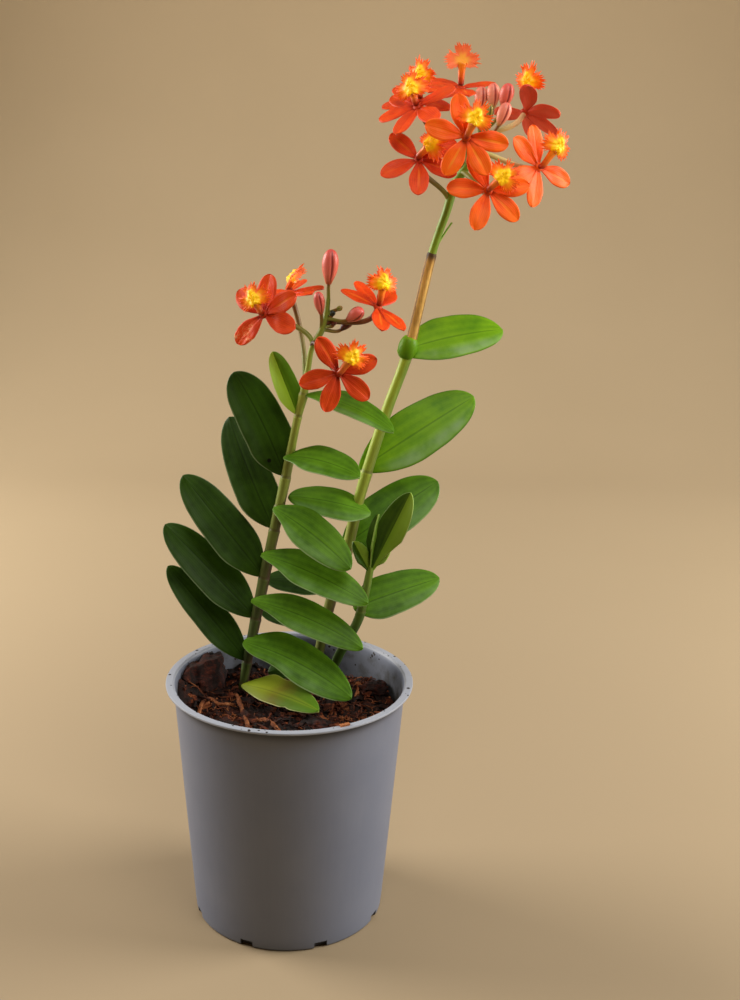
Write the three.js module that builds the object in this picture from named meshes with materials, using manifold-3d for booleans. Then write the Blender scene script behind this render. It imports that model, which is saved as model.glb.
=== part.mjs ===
// A reed-stemmed epidendrum orchid in a plastic nursery pot. Millimetres, +Z up. The origin is the centre
// of the pot's flat underside, +X is to the right and +Y is away from the side that the leaves face.
//
// The pot holds a coarse bark mix. Two leafy canes and one young shoot stand in plain holes in the mix. Each
// cane runs on into a bare flower stalk that ends in a head of blooms and buds. A bloom is five spread tepals
// in one node, and the column with its fringed lip in a second one, because their colours differ.

import * as THREE from "three";
import { mergeVertices } from "three/addons/utils/BufferGeometryUtils.js";
import Module from "manifold-3d";

const wasm = await Module();
wasm.setup();

// ---- Driving dimensions -------------------------------------------------------------------------------

const GAP = 0.3; // clearance between two pieces that touch on the real plant

const POT_HEIGHT = 112;
const POT_RIM_RADIUS = 55;
const POT_BASE_RADIUS = 43;
const POT_WALL = 1;
const POT_FLOOR = 1.6;
const POT_SIDES = 36;
const POT_SHOULDER_RADIUS = 51.5; // outside of the wall, just under the rim
const POT_SHOULDER_HEIGHT = 109.4;
const DRAIN_NOTCHES = 8;
const DRAIN_NOTCH = [6, 5, 3.4]; // width along the edge, depth, height

const MIX_LEVEL = 95;
const MIX_LUMP = 1.8;
const CANE_FOOT = 78; // height of the cut foot of each cane, inside the mix
const CANE_SIDES = 7;

const LEAF_THICKNESS = 1.5;
const LEAF_MARGIN = 0.9;
const LEAF_ROWS = 6;
const LEAF_COLUMNS = 4;

const TEPAL_LENGTH = 17;
const TEPAL_START = 1.1; // distance of a tepal's foot from the bloom's axis
const TEPAL_WIDTH = 8.4;
const TEPAL_THICKNESS = 0.8;
const TEPAL_ROWS = 3;
const BLOOM_HUB = 2.0; // radius of the small cup in which the tepals meet
const HUB_BACK = 1.0;
const HUB_FRONT = 1.2;
const LIP_RADIUS = 7;
const LIP_TEETH = 12;
const LIP_THICKNESS = 0.8;
const COLUMN_LEAN = 0.6; // how far a column leans aside, as a share of its lip's bend

// ---- Materials ----------------------------------------------------------------------------------------

function material(color, roughness) {
  return new THREE.MeshStandardMaterial({ color, roughness, metalness: 0 });
}

const potPlastic = material(0x9a949e, 0.5);
const barkMix = material(0x2e1710, 0.95);
const barkChunk = material(0x4a2417, 0.9);
const rootSkin = material(0x9a7048, 0.85);
const caneSkin = material(0x6f7a2c, 0.5);
const darkLeaf = material(0x27441f, 0.4);
const midLeaf = material(0x3f6b26, 0.4);
const lightLeaf = material(0x5b8c2a, 0.42);
const fadedLeaf = material(0x8c9a2a, 0.5);
const tepalSkin = material(0xe2502a, 0.5);
const lipSkin = material(0xf08a1c, 0.5);

// ---- Small helpers ------------------------------------------------------------------------------------

const UP = new THREE.Vector3(0, 0, 1);
const vec = (x, y, z) => new THREE.Vector3(x, y, z);
const radians = THREE.MathUtils.degToRad;

// A direction from a heading in the plane, counted from +X towards +Y, and a rise above it.
function direction(heading, rise) {
  const h = radians(heading);
  const r = radians(rise);
  return vec(Math.cos(h) * Math.cos(r), Math.sin(h) * Math.cos(r), Math.sin(r));
}

// A smooth number between -1 and 1 that depends on a place alone.
function ripple(x, y, scale, phase) {
  const a = Math.sin(x / scale + phase) * Math.cos(y / scale - 1.7 * phase);
  const b = Math.sin((x + y) / (0.53 * scale) + 2.3 * phase);
  return 0.62 * a + 0.38 * b;
}

// The closed solid of a three.js geometry: vertices shared, collapsed triangles dropped, faces outwards.
function toSolid(geometry) {
  const bare = new THREE.BufferGeometry();
  bare.setAttribute("position", geometry.getAttribute("position").clone());
  bare.setIndex(geometry.index ? geometry.index.clone() : null);
  const merged = mergeVertices(bare, 1e-3);
  const corners = merged.index.array;
  const kept = [];
  for (let i = 0; i < corners.length; i += 3) {
    const [a, b, c] = [corners[i], corners[i + 1], corners[i + 2]];
    if (a !== b && b !== c && c !== a) kept.push(a, b, c);
  }
  return new wasm.Manifold(
    new wasm.Mesh({
      numProp: 3,
      vertProperties: merged.getAttribute("position").array,
      triVerts: new Uint32Array(kept),
    }),
  );
}

function toMesh(name, solid, skin) {
  const { vertProperties, triVerts } = solid.getMesh();
  const geometry = new THREE.BufferGeometry();
  geometry.setAttribute("position", new THREE.Float32BufferAttribute(vertProperties, 3));
  geometry.setIndex(new THREE.Uint32BufferAttribute(triVerts, 1));
  geometry.computeVertexNormals();
  const mesh = new THREE.Mesh(geometry, skin);
  mesh.name = name;
  return mesh;
}

// Moves every vertex of a geometry to place(vertex).
function reshape(geometry, place) {
  const position = geometry.getAttribute("position");
  for (let i = 0; i < position.count; i += 1) {
    const moved = place(vec(position.getX(i), position.getY(i), position.getZ(i)));
    position.setXYZ(i, moved.x, moved.y, moved.z);
  }
  return geometry;
}

// The largest body of a solid that a cut may have left in several.
function largestBody(solid) {
  const bodies = solid.decompose();
  return bodies.reduce((best, body) => (body.volume() > best.volume() ? body : best));
}

function join(solids) {
  return solids.reduce((whole, solid) => whole.add(solid));
}

// A round bar through rings, each [centre, radius], with its section carried along without twist.
function bar(rings, sides) {
  const last = rings.length - 1;
  let across = null;
  const frames = rings.map(([centre], i) => {
    const before = rings[Math.max(0, i - 1)][0];
    const after = rings[Math.min(last, i + 1)][0];
    const along = after.clone().sub(before).normalize();
    const seed = across ?? (Math.abs(along.x) < 0.8 ? vec(1, 0, 0) : vec(0, 1, 0));
    across = seed.clone().addScaledVector(along, -seed.dot(along)).normalize();
    return { centre, along, across, third: across.clone().cross(along) };
  });
  const shape = new THREE.CylinderGeometry(1, 1, 1, sides, last);
  reshape(shape, (v) => {
    const row = Math.round((v.y + 0.5) * last);
    const { centre, across: a, third } = frames[row];
    const radius = rings[row][1];
    return centre
      .clone()
      .addScaledVector(a, v.x * radius)
      .addScaledVector(third, v.z * radius);
  });
  return toSolid(shape);
}

// A thin blade: place(u, t) gives the middle of its thickness, u from -1 to 1 across and t from 0 to 1 along,
// and thickness(u) is measured along face. Rows crowd towards both ends, where the outline turns fastest.
function blade(rows, columns, face, thickness, place) {
  const shape = new THREE.BoxGeometry(2, 1, 1, columns, rows, 1);
  reshape(shape, (v) => {
    const t = (1 - Math.cos(Math.PI * (v.y + 0.5))) / 2;
    return place(v.x, t).addScaledVector(face, v.z * thickness(v.x));
  });
  return toSolid(shape);
}

// ---- Pot ----------------------------------------------------------------------------------------------

function potOuterRadius(z) {
  return POT_BASE_RADIUS + ((POT_SHOULDER_RADIUS - POT_BASE_RADIUS) * z) / POT_SHOULDER_HEIGHT;
}

function potInnerRadius(z) {
  return potOuterRadius(z) - POT_WALL;
}

function lathe(profile) {
  const points = profile.map(([r, z]) => new THREE.Vector2(r, z));
  return toSolid(new THREE.LatheGeometry(points, POT_SIDES).rotateX(Math.PI / 2));
}

function buildPot() {
  const shell = lathe([
    [0, 0],
    [POT_BASE_RADIUS - 1, 0],
    [potOuterRadius(1), 1],
    [POT_SHOULDER_RADIUS, POT_SHOULDER_HEIGHT],
    [POT_SHOULDER_RADIUS + 0.6, POT_SHOULDER_HEIGHT + 1.3],
    [POT_RIM_RADIUS - 0.5, POT_SHOULDER_HEIGHT + 1.4],
    [POT_RIM_RADIUS, POT_SHOULDER_HEIGHT + 1.7],
    [POT_RIM_RADIUS, POT_HEIGHT - 0.4],
    [POT_RIM_RADIUS - 0.4, POT_HEIGHT],
    [POT_RIM_RADIUS - 3, POT_HEIGHT],
    [POT_SHOULDER_RADIUS - 0.3, POT_HEIGHT - 0.8],
    [potInnerRadius(POT_SHOULDER_HEIGHT), POT_SHOULDER_HEIGHT],
    [potInnerRadius(3), 3],
    [potInnerRadius(POT_FLOOR) - 1, POT_FLOOR],
    [0, POT_FLOOR],
  ]);
  const [width, depth, height] = DRAIN_NOTCH;
  const notches = [];
  for (let i = 0; i < DRAIN_NOTCHES; i += 1) {
    const notch = new THREE.BoxGeometry(depth, width, 2 * height);
    notch.translate(POT_BASE_RADIUS, 0, 0);
    notch.rotateZ((2 * Math.PI * (i + 0.5)) / DRAIN_NOTCHES);
    notches.push(toSolid(notch));
  }
  return shell.subtract(join(notches));
}

// The room inside the pot, less the gap, that the mix and the bark chunks keep to.
function potRoom(top) {
  return lathe([
    [0, POT_FLOOR + GAP],
    [potInnerRadius(POT_FLOOR) - 1.6, POT_FLOOR + GAP],
    [potInnerRadius(4) - GAP, 4],
    [potInnerRadius(top) - GAP, top],
    [0, top],
  ]);
}

// ---- Potting mix, bark chunks and surface roots -------------------------------------------------------

const MIX_RINGS = 5;
const MIX_MOUNDS = [
  // x, y, radius, height of each broad mound in the surface
  [34, 24, 11, 4.5],
  [-22, 40, 10, 5],
  [-34, 12, 12, 2.5],
  [6, -14, 9, 1.6],
  [-46, 3, 9, 8],
];

function mixSurface(x, y) {
  let z = MIX_LEVEL + MIX_LUMP * (0.7 * ripple(x, y, 6.1, 0.4) + 0.5 * ripple(x, y, 3.1, 2.1));
  for (const [mx, my, radius, height] of MIX_MOUNDS) {
    z += height * Math.exp(-((x - mx) ** 2 + (y - my) ** 2) / radius ** 2);
  }
  return z;
}

function buildMixBody() {
  const edge = potInnerRadius(MIX_LEVEL) - GAP;
  const profile = [
    [0, POT_FLOOR + GAP],
    [potInnerRadius(POT_FLOOR) - 1.6, POT_FLOOR + GAP],
    [potInnerRadius(4) - GAP, 4],
  ];
  for (let i = MIX_RINGS; i >= 0; i -= 1) profile.push([(edge * i) / MIX_RINGS, MIX_LEVEL]);
  const points = profile.map(([r, z]) => new THREE.Vector2(r, z));
  const shape = new THREE.LatheGeometry(points, POT_SIDES).rotateX(Math.PI / 2);
  reshape(shape, (v) => {
    if (v.z < MIX_LEVEL - 1) return v;
    const z = mixSurface(v.x, v.y);
    const reach = Math.hypot(v.x, v.y);
    const most = potInnerRadius(z) - GAP;
    return reach > edge - 0.1 ? vec((v.x * most) / reach, (v.y * most) / reach, z) : vec(v.x, v.y, z);
  });
  return toSolid(shape);
}

const CHUNKS = [
  // name, centre, half sizes, turn about Z in degrees
  { name: "bark_chunk_back_left", at: [-40.5, 20.5, 100.5], half: [8.5, 17, 11], turn: -27 },
  { name: "bark_chunk_left", at: [-29.5, -14, 94], half: [6, 4.5, 3.5], turn: 20 },
  { name: "bark_chunk_right", at: [38, 20, 97.5], half: [7, 5.5, 4.5], turn: 30 },
  { name: "bark_chunk_front", at: [13, -12, 94.5], half: [7, 5, 4], turn: -25 },
];

function chunkSolid({ at, half, turn }, extra) {
  const shape = new THREE.IcosahedronGeometry(1, 1);
  reshape(shape, (v) => {
    const rough = 1 + 0.16 * ripple(9 * v.x + 3 * v.z, 9 * v.y + at[0], 2.2, at[1]);
    return vec(
      v.x * rough * half[0] + v.x * extra,
      v.y * rough * half[1] + v.y * extra,
      v.z * rough * half[2] + v.z * extra,
    );
  });
  shape.rotateZ(radians(turn));
  shape.translate(...at);
  return toSolid(shape);
}

const ROOT_RADIUS = 1.3;
const ROOTS = [
  // name, points along the root at the height of the surface: x, y and how far it dips below its crest
  {
    name: "surface_root_1",
    path: [[-26.2, 13, 1.5], [-25, 6, -0.6], [-21, -4, 0], [-18.5, -14, 1.5], [-18, -22, 5]],
  },
  {
    name: "surface_root_2",
    path: [[-37, -17, 5], [-40, -10, 0], [-37.5, -3.5, -1], [-33, -1.5, 0], [-29, -0.5, 2], [-28, 1, 5]],
  },
  {
    name: "surface_root_3",
    path: [[-14, -5, 4], [-9.5, -10, -0.3], [-6, -15, 0], [-1, -22, 1], [3, -28, 5]],
  },
];

function rootSolid({ path }, extra) {
  const points = path.map(([x, y, dip]) => vec(x, y, mixSurface(x, y) + 0.5 - dip));
  const curve = new THREE.CatmullRomCurve3(points);
  const steps = 2 * (path.length - 1);
  const rings = curve.getPoints(steps).map((p, i) => {
    const taper = Math.sin((Math.PI * (i + 1)) / (steps + 2)) ** 0.4;
    return [p, ROOT_RADIUS * taper + extra];
  });
  return bar(rings, 5);
}

// ---- Canes --------------------------------------------------------------------------------------------

// A cane is a path of [x, y, z, radius] points from its foot in the mix to the top of its flower stalk.
const CANES = {
  a: [
    [-23.5, 19, CANE_FOOT, 1.9],
    [-23, 19, 96, 2.0],
    [-14, 18, 147, 2.5],
    [-3.5, 16, 199, 2.2],
    [1.8, 14, 227, 1.6],
    [4.6, 13, 239, 1.9],
    [6.6, 12, 251, 1.2],
    [8.2, 11.2, 260, 1.2],
    [11.8, 10.2, 266.5, 1.4],
    [14, 10, 273, 1.2],
    [14.9, 9.6, 281, 0.9],
  ],
  b: [
    [6.5, 25, CANE_FOOT, 2.0],
    [9, 25, 96, 2.2],
    [16.5, 25, 137, 2.5],
    [24, 25, 164, 2.6],
    [29.2, 25, 189, 2.5],
    [40.4, 25, 229, 2.4],
    [48.4, 25, 253, 2.3],
    [52.2, 24.5, 270, 1.9],
    [57.8, 24, 297, 1.8],
    [60.4, 23.5, 306.5, 1.7],
    [63.5, 23, 316, 1.8],
    [66.9, 23, 328, 2.0],
    [71.5, 22, 335.5, 1.7],
    [76, 22, 345, 1.3],
  ],
  c: [
    [12.5, 28.5, CANE_FOOT + 2, 1.7],
    [15.5, 27.5, 96.5, 2.0],
    [21.2, 25.5, 112.5, 2.2],
    [26.2, 24, 123, 2.2],
    [30.2, 23, 132.5, 2.1],
    [33.6, 22, 149, 1.9],
    [35, 21.5, 158, 1.6],
  ],
};

// The centre and radius of a cane at a height.
function caneAt(cane, z) {
  const points = CANES[cane];
  const curve = new THREE.CatmullRomCurve3(points.map(([x, y, h]) => vec(x, y, h)));
  let low = 0;
  let high = 1;
  for (let i = 0; i < 30; i += 1) {
    const middle = (low + high) / 2;
    if (curve.getPoint(middle).z < z) low = middle;
    else high = middle;
  }
  const place = low * (points.length - 1);
  const i = Math.min(points.length - 2, Math.floor(place));
  return [curve.getPoint(low), THREE.MathUtils.lerp(points[i][3], points[i + 1][3], place - i)];
}

// ---- Leaves -------------------------------------------------------------------------------------------

// Each leaf joins its cane at a height. Its midrib leaves at a heading and a rise, and its face is turned
// about the midrib by roll degrees from facing up, towards the viewer's side for a leaf that points right.
// arch lifts its middle and cup its margins. from moves its foot sideways off the cane's centre, for a leaf
// that clasps the cane. bow bends it sideways. What a leaf leaves out is as its rank says.
const RANKS = [
  {
    // the lower, dark rank of cane a, up to the left and away, and the small bright leaf at its top
    rank: "leaf_a_left",
    common: { cane: "a", arch: 2, cup: 1, belly: 0.35, blunt: 5, skin: darkLeaf },
    leaves: [
      { z: 111.5, heading: 159, rise: 45, roll: -52, length: 56, width: 15.4 },
      { z: 133, heading: 160, rise: 40.5, roll: -50, length: 58.5, width: 19 },
      { z: 153, heading: 160, rise: 47, roll: -55, length: 57.5, width: 20 },
      { z: 176, heading: 135, rise: 56, roll: -60, length: 54, width: 20.5, belly: 0.3 },
      { z: 201, heading: 153, rise: 59, roll: -60, length: 50, width: 20.8, belly: 0.32, blunt: 6, bow: 1.5 },
      {
        z: 229, heading: 137, rise: 58, roll: -40, length: 29.5, width: 10.6,
        arch: 0, cup: 4, blunt: 4, skin: lightLeaf,
      },
    ],
  },
  {
    // the front rank of cane a, to the right and towards the viewer
    rank: "leaf_a_right",
    common: { cane: "a", arch: 3, cup: 0, belly: 0.4, blunt: 4, skin: midLeaf },
    leaves: [
      {
        z: 100.5, heading: -37, rise: 1, roll: 25, length: 45.5, width: 14,
        arch: 1.5, cup: 0.5, skin: fadedLeaf, from: [-0.5, -2.8],
      },
      {
        z: 122.3, heading: -18, rise: -20.3, roll: 48, length: 56, width: 21.5,
        cup: 1.5, belly: 0.34, from: [-3.4, -2.6],
      },
      { z: 142.7, heading: -20, rise: -15, roll: 48, length: 56, width: 16.6, cup: 1, from: [-3.6, -2.8] },
      { z: 165, heading: -22, rise: -16, roll: 42, length: 54, width: 18, from: [-3.4, -2.8] },
      { z: 187, heading: -30, rise: -27, roll: 45, length: 45, width: 18, blunt: 5, from: [-2.4, -2.6] },
      {
        z: 210.5, heading: -30, rise: -4, roll: 25, length: 38.5, width: 18,
        arch: 2.5, blunt: 5, from: [-2.4, -2.2],
      },
      { z: 239, heading: -28, rise: -14, roll: 20, length: 44, width: 15.5 },
    ],
  },
  {
    // the right rank of cane b, up to the right and away, clasping it from behind
    rank: "leaf_b_right",
    common: { cane: "b", arch: 2, cup: 1, belly: 0.45, blunt: 5, skin: midLeaf },
    leaves: [
      { z: 165, heading: 22, rise: 30, roll: 55, length: 53.5, width: 24, from: [-2, 3.4] },
      { z: 201.5, heading: 15, rise: 31, roll: 60, length: 61, width: 24.8, skin: lightLeaf, from: [-3, 3.6] },
      {
        z: 255, heading: 16, rise: 10, roll: 45, length: 49, width: 22,
        arch: 3, skin: lightLeaf, from: [-4, 3],
      },
    ],
  },
  {
    // the left rank of cane b, behind cane a's front leaves; the top one clasps the cane from the front
    rank: "leaf_b_left",
    common: { cane: "b", arch: 1.5, cup: 0, belly: 0.4, blunt: 4, skin: darkLeaf },
    leaves: [
      { z: 109, heading: -165, rise: -8, roll: -35, length: 22, width: 13 },
      { z: 130, heading: 177, rise: 6, roll: -35, length: 29, width: 15 },
      { z: 146, heading: 176, rise: 5, roll: -30, length: 31, width: 15 },
      {
        z: 183, heading: -170, rise: 13.5, roll: -35, length: 38, width: 18.5,
        arch: 2, skin: midLeaf, from: [6.5, -2.8],
      },
    ],
  },
  {
    // the one grown leaf of the young shoot
    rank: "leaf_c_right",
    common: { cane: "c", arch: 2, cup: 1, belly: 0.3, blunt: 4, skin: midLeaf },
    leaves: [
      { z: 136, heading: 18, rise: 14.5, roll: 55, length: 43, width: 20, from: [-3.5, 3.2] },
    ],
  },
];

const LEAVES = RANKS.flatMap(({ rank, common, leaves }) =>
  leaves.map((leaf, i) => ({ name: `${rank}_${i + 1}`, ...common, ...leaf })),
);

// Half the width of a leaf at a share t of its length. It reaches its full width at the share belly, and the
// larger blunt is, the rounder its tip.
function leafHalfWidth(width, t, belly = 0.45, blunt = 4) {
  const base = 0.12 + 0.88 * Math.sin((Math.PI / 2) * Math.min(1, t / belly)) ** 0.8;
  return 0.5 * width * base * Math.max(0, 1 - t ** blunt) ** 0.6;
}

function leafSolid(leaf) {
  const [centre, radius] = caneAt(leaf.cane, leaf.z);
  const along = direction(leaf.heading, leaf.rise);
  const face = UP.clone().addScaledVector(along, -UP.dot(along)).normalize();
  face.applyAxisAngle(along, radians(leaf.roll));
  const side = along.clone().cross(face);
  const foot = centre.clone();
  if (leaf.from) foot.add(vec(leaf.from[0], leaf.from[1], 0));
  else foot.addScaledVector(along, radius * 0.6);
  const thickness = (u) => THREE.MathUtils.lerp(LEAF_THICKNESS, LEAF_MARGIN, Math.abs(u));
  return blade(LEAF_ROWS, LEAF_COLUMNS, face, thickness, (u, t) => {
    const half = leafHalfWidth(leaf.width, t, leaf.belly, leaf.blunt);
    const bow = (leaf.bow ?? 0) * 4 * t * (1 - t);
    const lift = leaf.arch * 4 * t * (1 - t) + (leaf.cup * Math.abs(u) ** 1.4 * 2 * half) / leaf.width;
    return foot
      .clone()
      .addScaledVector(along, leaf.length * t)
      .addScaledVector(side, half * u + bow)
      .addScaledVector(face, lift);
  });
}

// A cane's rings: its path, and a sheath that widens up to each leaf's joint and steps in above it.
function caneRings(cane, extra) {
  const points = CANES[cane];
  const joints = LEAVES.filter((leaf) => leaf.cane === cane).map((leaf) => leaf.z);
  const heights = new Map(points.map(([, , z]) => [z, 0]));
  for (const z of joints) {
    for (const h of heights.keys()) if (Math.abs(h - z) < 3) heights.delete(h);
    heights.set(z - 0.8, 0.35);
    heights.set(z + 0.8, -0.05);
  }
  const foot = points[0][2];
  const top = points[points.length - 1][2];
  heights.set(foot, 0);
  heights.set(top, 0);
  return [...heights.keys()]
    .sort((p, q) => p - q)
    .map((z) => {
      const [centre, radius] = caneAt(cane, z);
      if (z === foot) centre.z -= extra;
      return [centre, radius + heights.get(z) + extra];
    });
}

// ---- Young shoot's folded leaves ----------------------------------------------------------------------

const YOUNG_LEAVES = [
  { z: 154, heading: -10, rise: 66, length: 46, width: 16, roll: 85, cup: 3 },
  { z: 154, heading: 20, rise: 80, length: 30, width: 11, roll: 80, cup: 3 },
  { z: 155, heading: 205, rise: 62, length: 18, width: 9, roll: -70, cup: 2 },
  { z: 156, heading: 0, rise: 52, length: 15, width: 7, roll: 60, cup: 2 },
];

function youngLeafSolid({ z, heading, rise, length, width, roll, cup }) {
  const [foot] = caneAt("c", z);
  const along = direction(heading, rise);
  const face = UP.clone().addScaledVector(along, -UP.dot(along)).normalize();
  face.applyAxisAngle(along, radians(roll));
  const side = along.clone().cross(face);
  return blade(4, 2, face, () => LEAF_MARGIN, (u, t) => {
    const half = leafHalfWidth(width, t);
    return foot
      .clone()
      .addScaledVector(along, length * t)
      .addScaledVector(side, half * u)
      .addScaledVector(face, (cup * Math.abs(u) * 2 * half) / width);
  });
}

// ---- Blooms -------------------------------------------------------------------------------------------

// at is where the tepals meet. The bloom faces turn degrees to the right of the viewer's side and lift
// degrees up. Angles in the bloom's plane run clockwise from its top, as its viewer sees them: one for each
// tepal, and the first number of lip for the side to which the column carries the lip. The second turns the
// lip's blade from lying along the bloom's axis, 0, to standing across it, 90, and the third is the length of
// the column. stalk is where the bloom's pedicel leaves the flower stalk.
const BLOOMS = [
  {
    name: "a1", at: [-12, 8, 274], turn: -27, lift: 20, stalk: [8.3, 11, 261],
    tepals: [-60, 0, 57, 106, -145], lip: [-30, 75, 6.5],
  },
  {
    name: "a2", at: [-2, 27, 280], turn: -68, lift: 72, stalk: [6.8, 12, 253],
    tepals: [51, 74, -50, -120, 170], lip: [50, 45, 6.5],
  },
  {
    name: "a3", at: [35.6, 8, 277.8], turn: 42, lift: 61, stalk: [12.6, 10, 268],
    tepals: [-39, 1, -149, 174, 60], lip: [20, 35, 9],
  },
  {
    name: "a4", at: [20, -12, 254], turn: 15, lift: 5, stalk: [8.2, 11, 260],
    tepals: [-31, -103, -160, 130, 73], lip: [30, 75, 9.5],
  },
  {
    name: "b1", at: [68, 30, 366], turn: 0, lift: 78, stalk: [74, 22.4, 341],
    tepals: [62, -42, -84, -124, 172], lip: [8, 15, 10],
  },
  {
    name: "b2", at: [52.1, 47.5, 360.6], turn: -20, lift: 62, stalk: [70, 22.4, 333.5],
    tepals: [180, 118, -122, -60, 62], lip: [10, 25, 9.5],
  },
  {
    name: "b3", at: [50, 13, 358.5], turn: -40, lift: 50, stalk: [69, 22.6, 332],
    tepals: [-75, -118, 178, 118, 45], lip: [-28, 40, 6.5],
  },
  {
    name: "b4", at: [51, 10, 338], turn: -5, lift: 38, stalk: [64.5, 22.6, 319.5],
    tepals: [-47, -118, 175, 113, 62], lip: [62, 60, 8],
  },
  {
    name: "b5", at: [69, -5, 348], turn: 0, lift: 8, stalk: [71.5, 21.6, 335.5],
    tepals: [-16, -76, -152, 149, 98], lip: [24, 75, 8.5],
  },
  {
    name: "b6", at: [95, 29, 357], turn: 140, lift: 43, stalk: [75.6, 22.4, 344],
    tepals: [-30, -88, -140, 172, 100], lip: [0, 60, 11.5],
  },
  {
    name: "b7", at: [100, 13, 336], turn: 33, lift: 12, stalk: [73, 21.8, 338.5],
    tepals: [-46, -112, -162, 114, -5], lip: [32, 75, 10],
  },
  {
    name: "b8", at: [79, 1, 327], turn: 5, lift: 18, stalk: [69, 22, 331],
    tepals: [-85, -24, -159, 133, 82], lip: [50, 65, 8],
  },
];

function bloomFrame({ at, turn, lift }) {
  const t = radians(turn);
  const l = radians(lift);
  const out = vec(Math.sin(t) * Math.cos(l), -Math.cos(t) * Math.cos(l), Math.sin(l));
  const top = vec(-Math.sin(t) * Math.sin(l), Math.cos(t) * Math.sin(l), Math.cos(l));
  const right = top.clone().cross(out);
  const inPlane = (degrees) =>
    top
      .clone()
      .multiplyScalar(Math.cos(radians(degrees)))
      .addScaledVector(right, Math.sin(radians(degrees)));
  return { centre: vec(...at), out, inPlane };
}

// Half the width of a tepal at a share t of its length: narrow at its foot, widest past its middle, blunt.
function tepalHalfWidth(t) {
  const base = 0.22 + 0.78 * Math.sin((Math.PI / 2) * Math.min(1, t / 0.6)) ** 1.2;
  return 0.5 * TEPAL_WIDTH * base * (1 - t ** 6) ** 0.6;
}

function tepalSolid({ centre, out, inPlane }, angle) {
  const along = inPlane(angle);
  const side = along.clone().cross(out);
  return blade(TEPAL_ROWS, 2, out, () => TEPAL_THICKNESS, (u, t) => {
    const forward = 1.9 * t - 1.6 * t * t + 0.5 * u * u;
    return centre
      .clone()
      .addScaledVector(along, TEPAL_START + (TEPAL_LENGTH - TEPAL_START) * t)
      .addScaledVector(side, tepalHalfWidth(t) * u)
      .addScaledVector(out, forward);
  });
}

function bloomSolid(bloom) {
  const frame = bloomFrame(bloom);
  const back = frame.centre.clone().addScaledVector(frame.out, -HUB_BACK);
  const front = frame.centre.clone().addScaledVector(frame.out, HUB_FRONT);
  const hub = bar([[back, BLOOM_HUB * 0.8], [front, BLOOM_HUB]], 5);
  return join([hub, ...bloom.tepals.map((angle) => tepalSolid(frame, angle))]);
}

function lipOutline(angle, tooth) {
  const lobes = 1 - 0.32 * Math.exp(-(((Math.abs(angle) - 42) / 12) ** 2));
  const backCut = THREE.MathUtils.smoothstep(Math.abs(angle), 120, 165);
  return LIP_RADIUS * lobes * (1 - 0.7 * backCut) * (tooth ? 1 : 0.76);
}

function lipSolid(bloom) {
  const { centre, out, inPlane } = bloomFrame(bloom);
  const [angle, turned, reach] = bloom.lip;
  const aside = inPlane(angle);
  const bend = radians(turned);
  const forward = reach * Math.cos(COLUMN_LEAN * bend);
  const sideways = reach * Math.sin(COLUMN_LEAN * bend);
  const spot = (height, shift) =>
    centre.clone().addScaledVector(out, height).addScaledVector(aside, shift);
  const throat = spot(forward, sideways);
  const column = bar(
    [
      [spot(HUB_FRONT + GAP, 0), 1.0],
      [spot(2 * HUB_FRONT + GAP, 0.1), 1.0],
      [spot(forward * 0.7, sideways * 0.5), 1.1],
      [throat, 1.5],
    ],
    5,
  );
  const axis = out.clone().multiplyScalar(Math.cos(bend)).addScaledVector(aside, Math.sin(bend));
  const face = out.clone().multiplyScalar(Math.sin(bend)).addScaledVector(aside, -Math.cos(bend));
  const side = face.clone().cross(axis);
  const middle = throat.clone().addScaledVector(axis, 1.4);
  const fan = new THREE.CylinderGeometry(1, 1, 1, 2 * LIP_TEETH, 1);
  reshape(fan, (v) => {
    const atEdge = Math.hypot(v.x, v.z) > 0.5;
    const round = THREE.MathUtils.radToDeg(Math.atan2(v.x, v.z));
    const step = Math.round(((round + 360) * LIP_TEETH) / 180);
    const radius = atEdge ? lipOutline(round, step % 2 === 0) : 0;
    const lift = atEdge ? -0.9 : 0.5;
    return middle
      .clone()
      .addScaledVector(axis, radius * Math.cos(radians(round)))
      .addScaledVector(side, radius * Math.sin(radians(round)))
      .addScaledVector(face, lift + v.y * LIP_THICKNESS);
  });
  return column.add(toSolid(fan));
}

// ---- Pedicels, buds and bracts, grown on the canes ----------------------------------------------------

function pedicelSolid(start, end, arrival, startRadius, endRadius) {
  const span = start.distanceTo(end);
  const leave = UP.clone().multiplyScalar(0.3 * span);
  const curve = new THREE.CubicBezierCurve3(
    start,
    start.clone().add(leave),
    end.clone().addScaledVector(arrival, -0.4 * span),
    end,
  );
  const points = [...curve.getPoints(3), end.clone().add(arrival)];
  const last = points.length - 1;
  return bar(
    points.map((p, i) => [p, THREE.MathUtils.lerp(startRadius, endRadius, i / last)]),
    5,
  );
}

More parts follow.
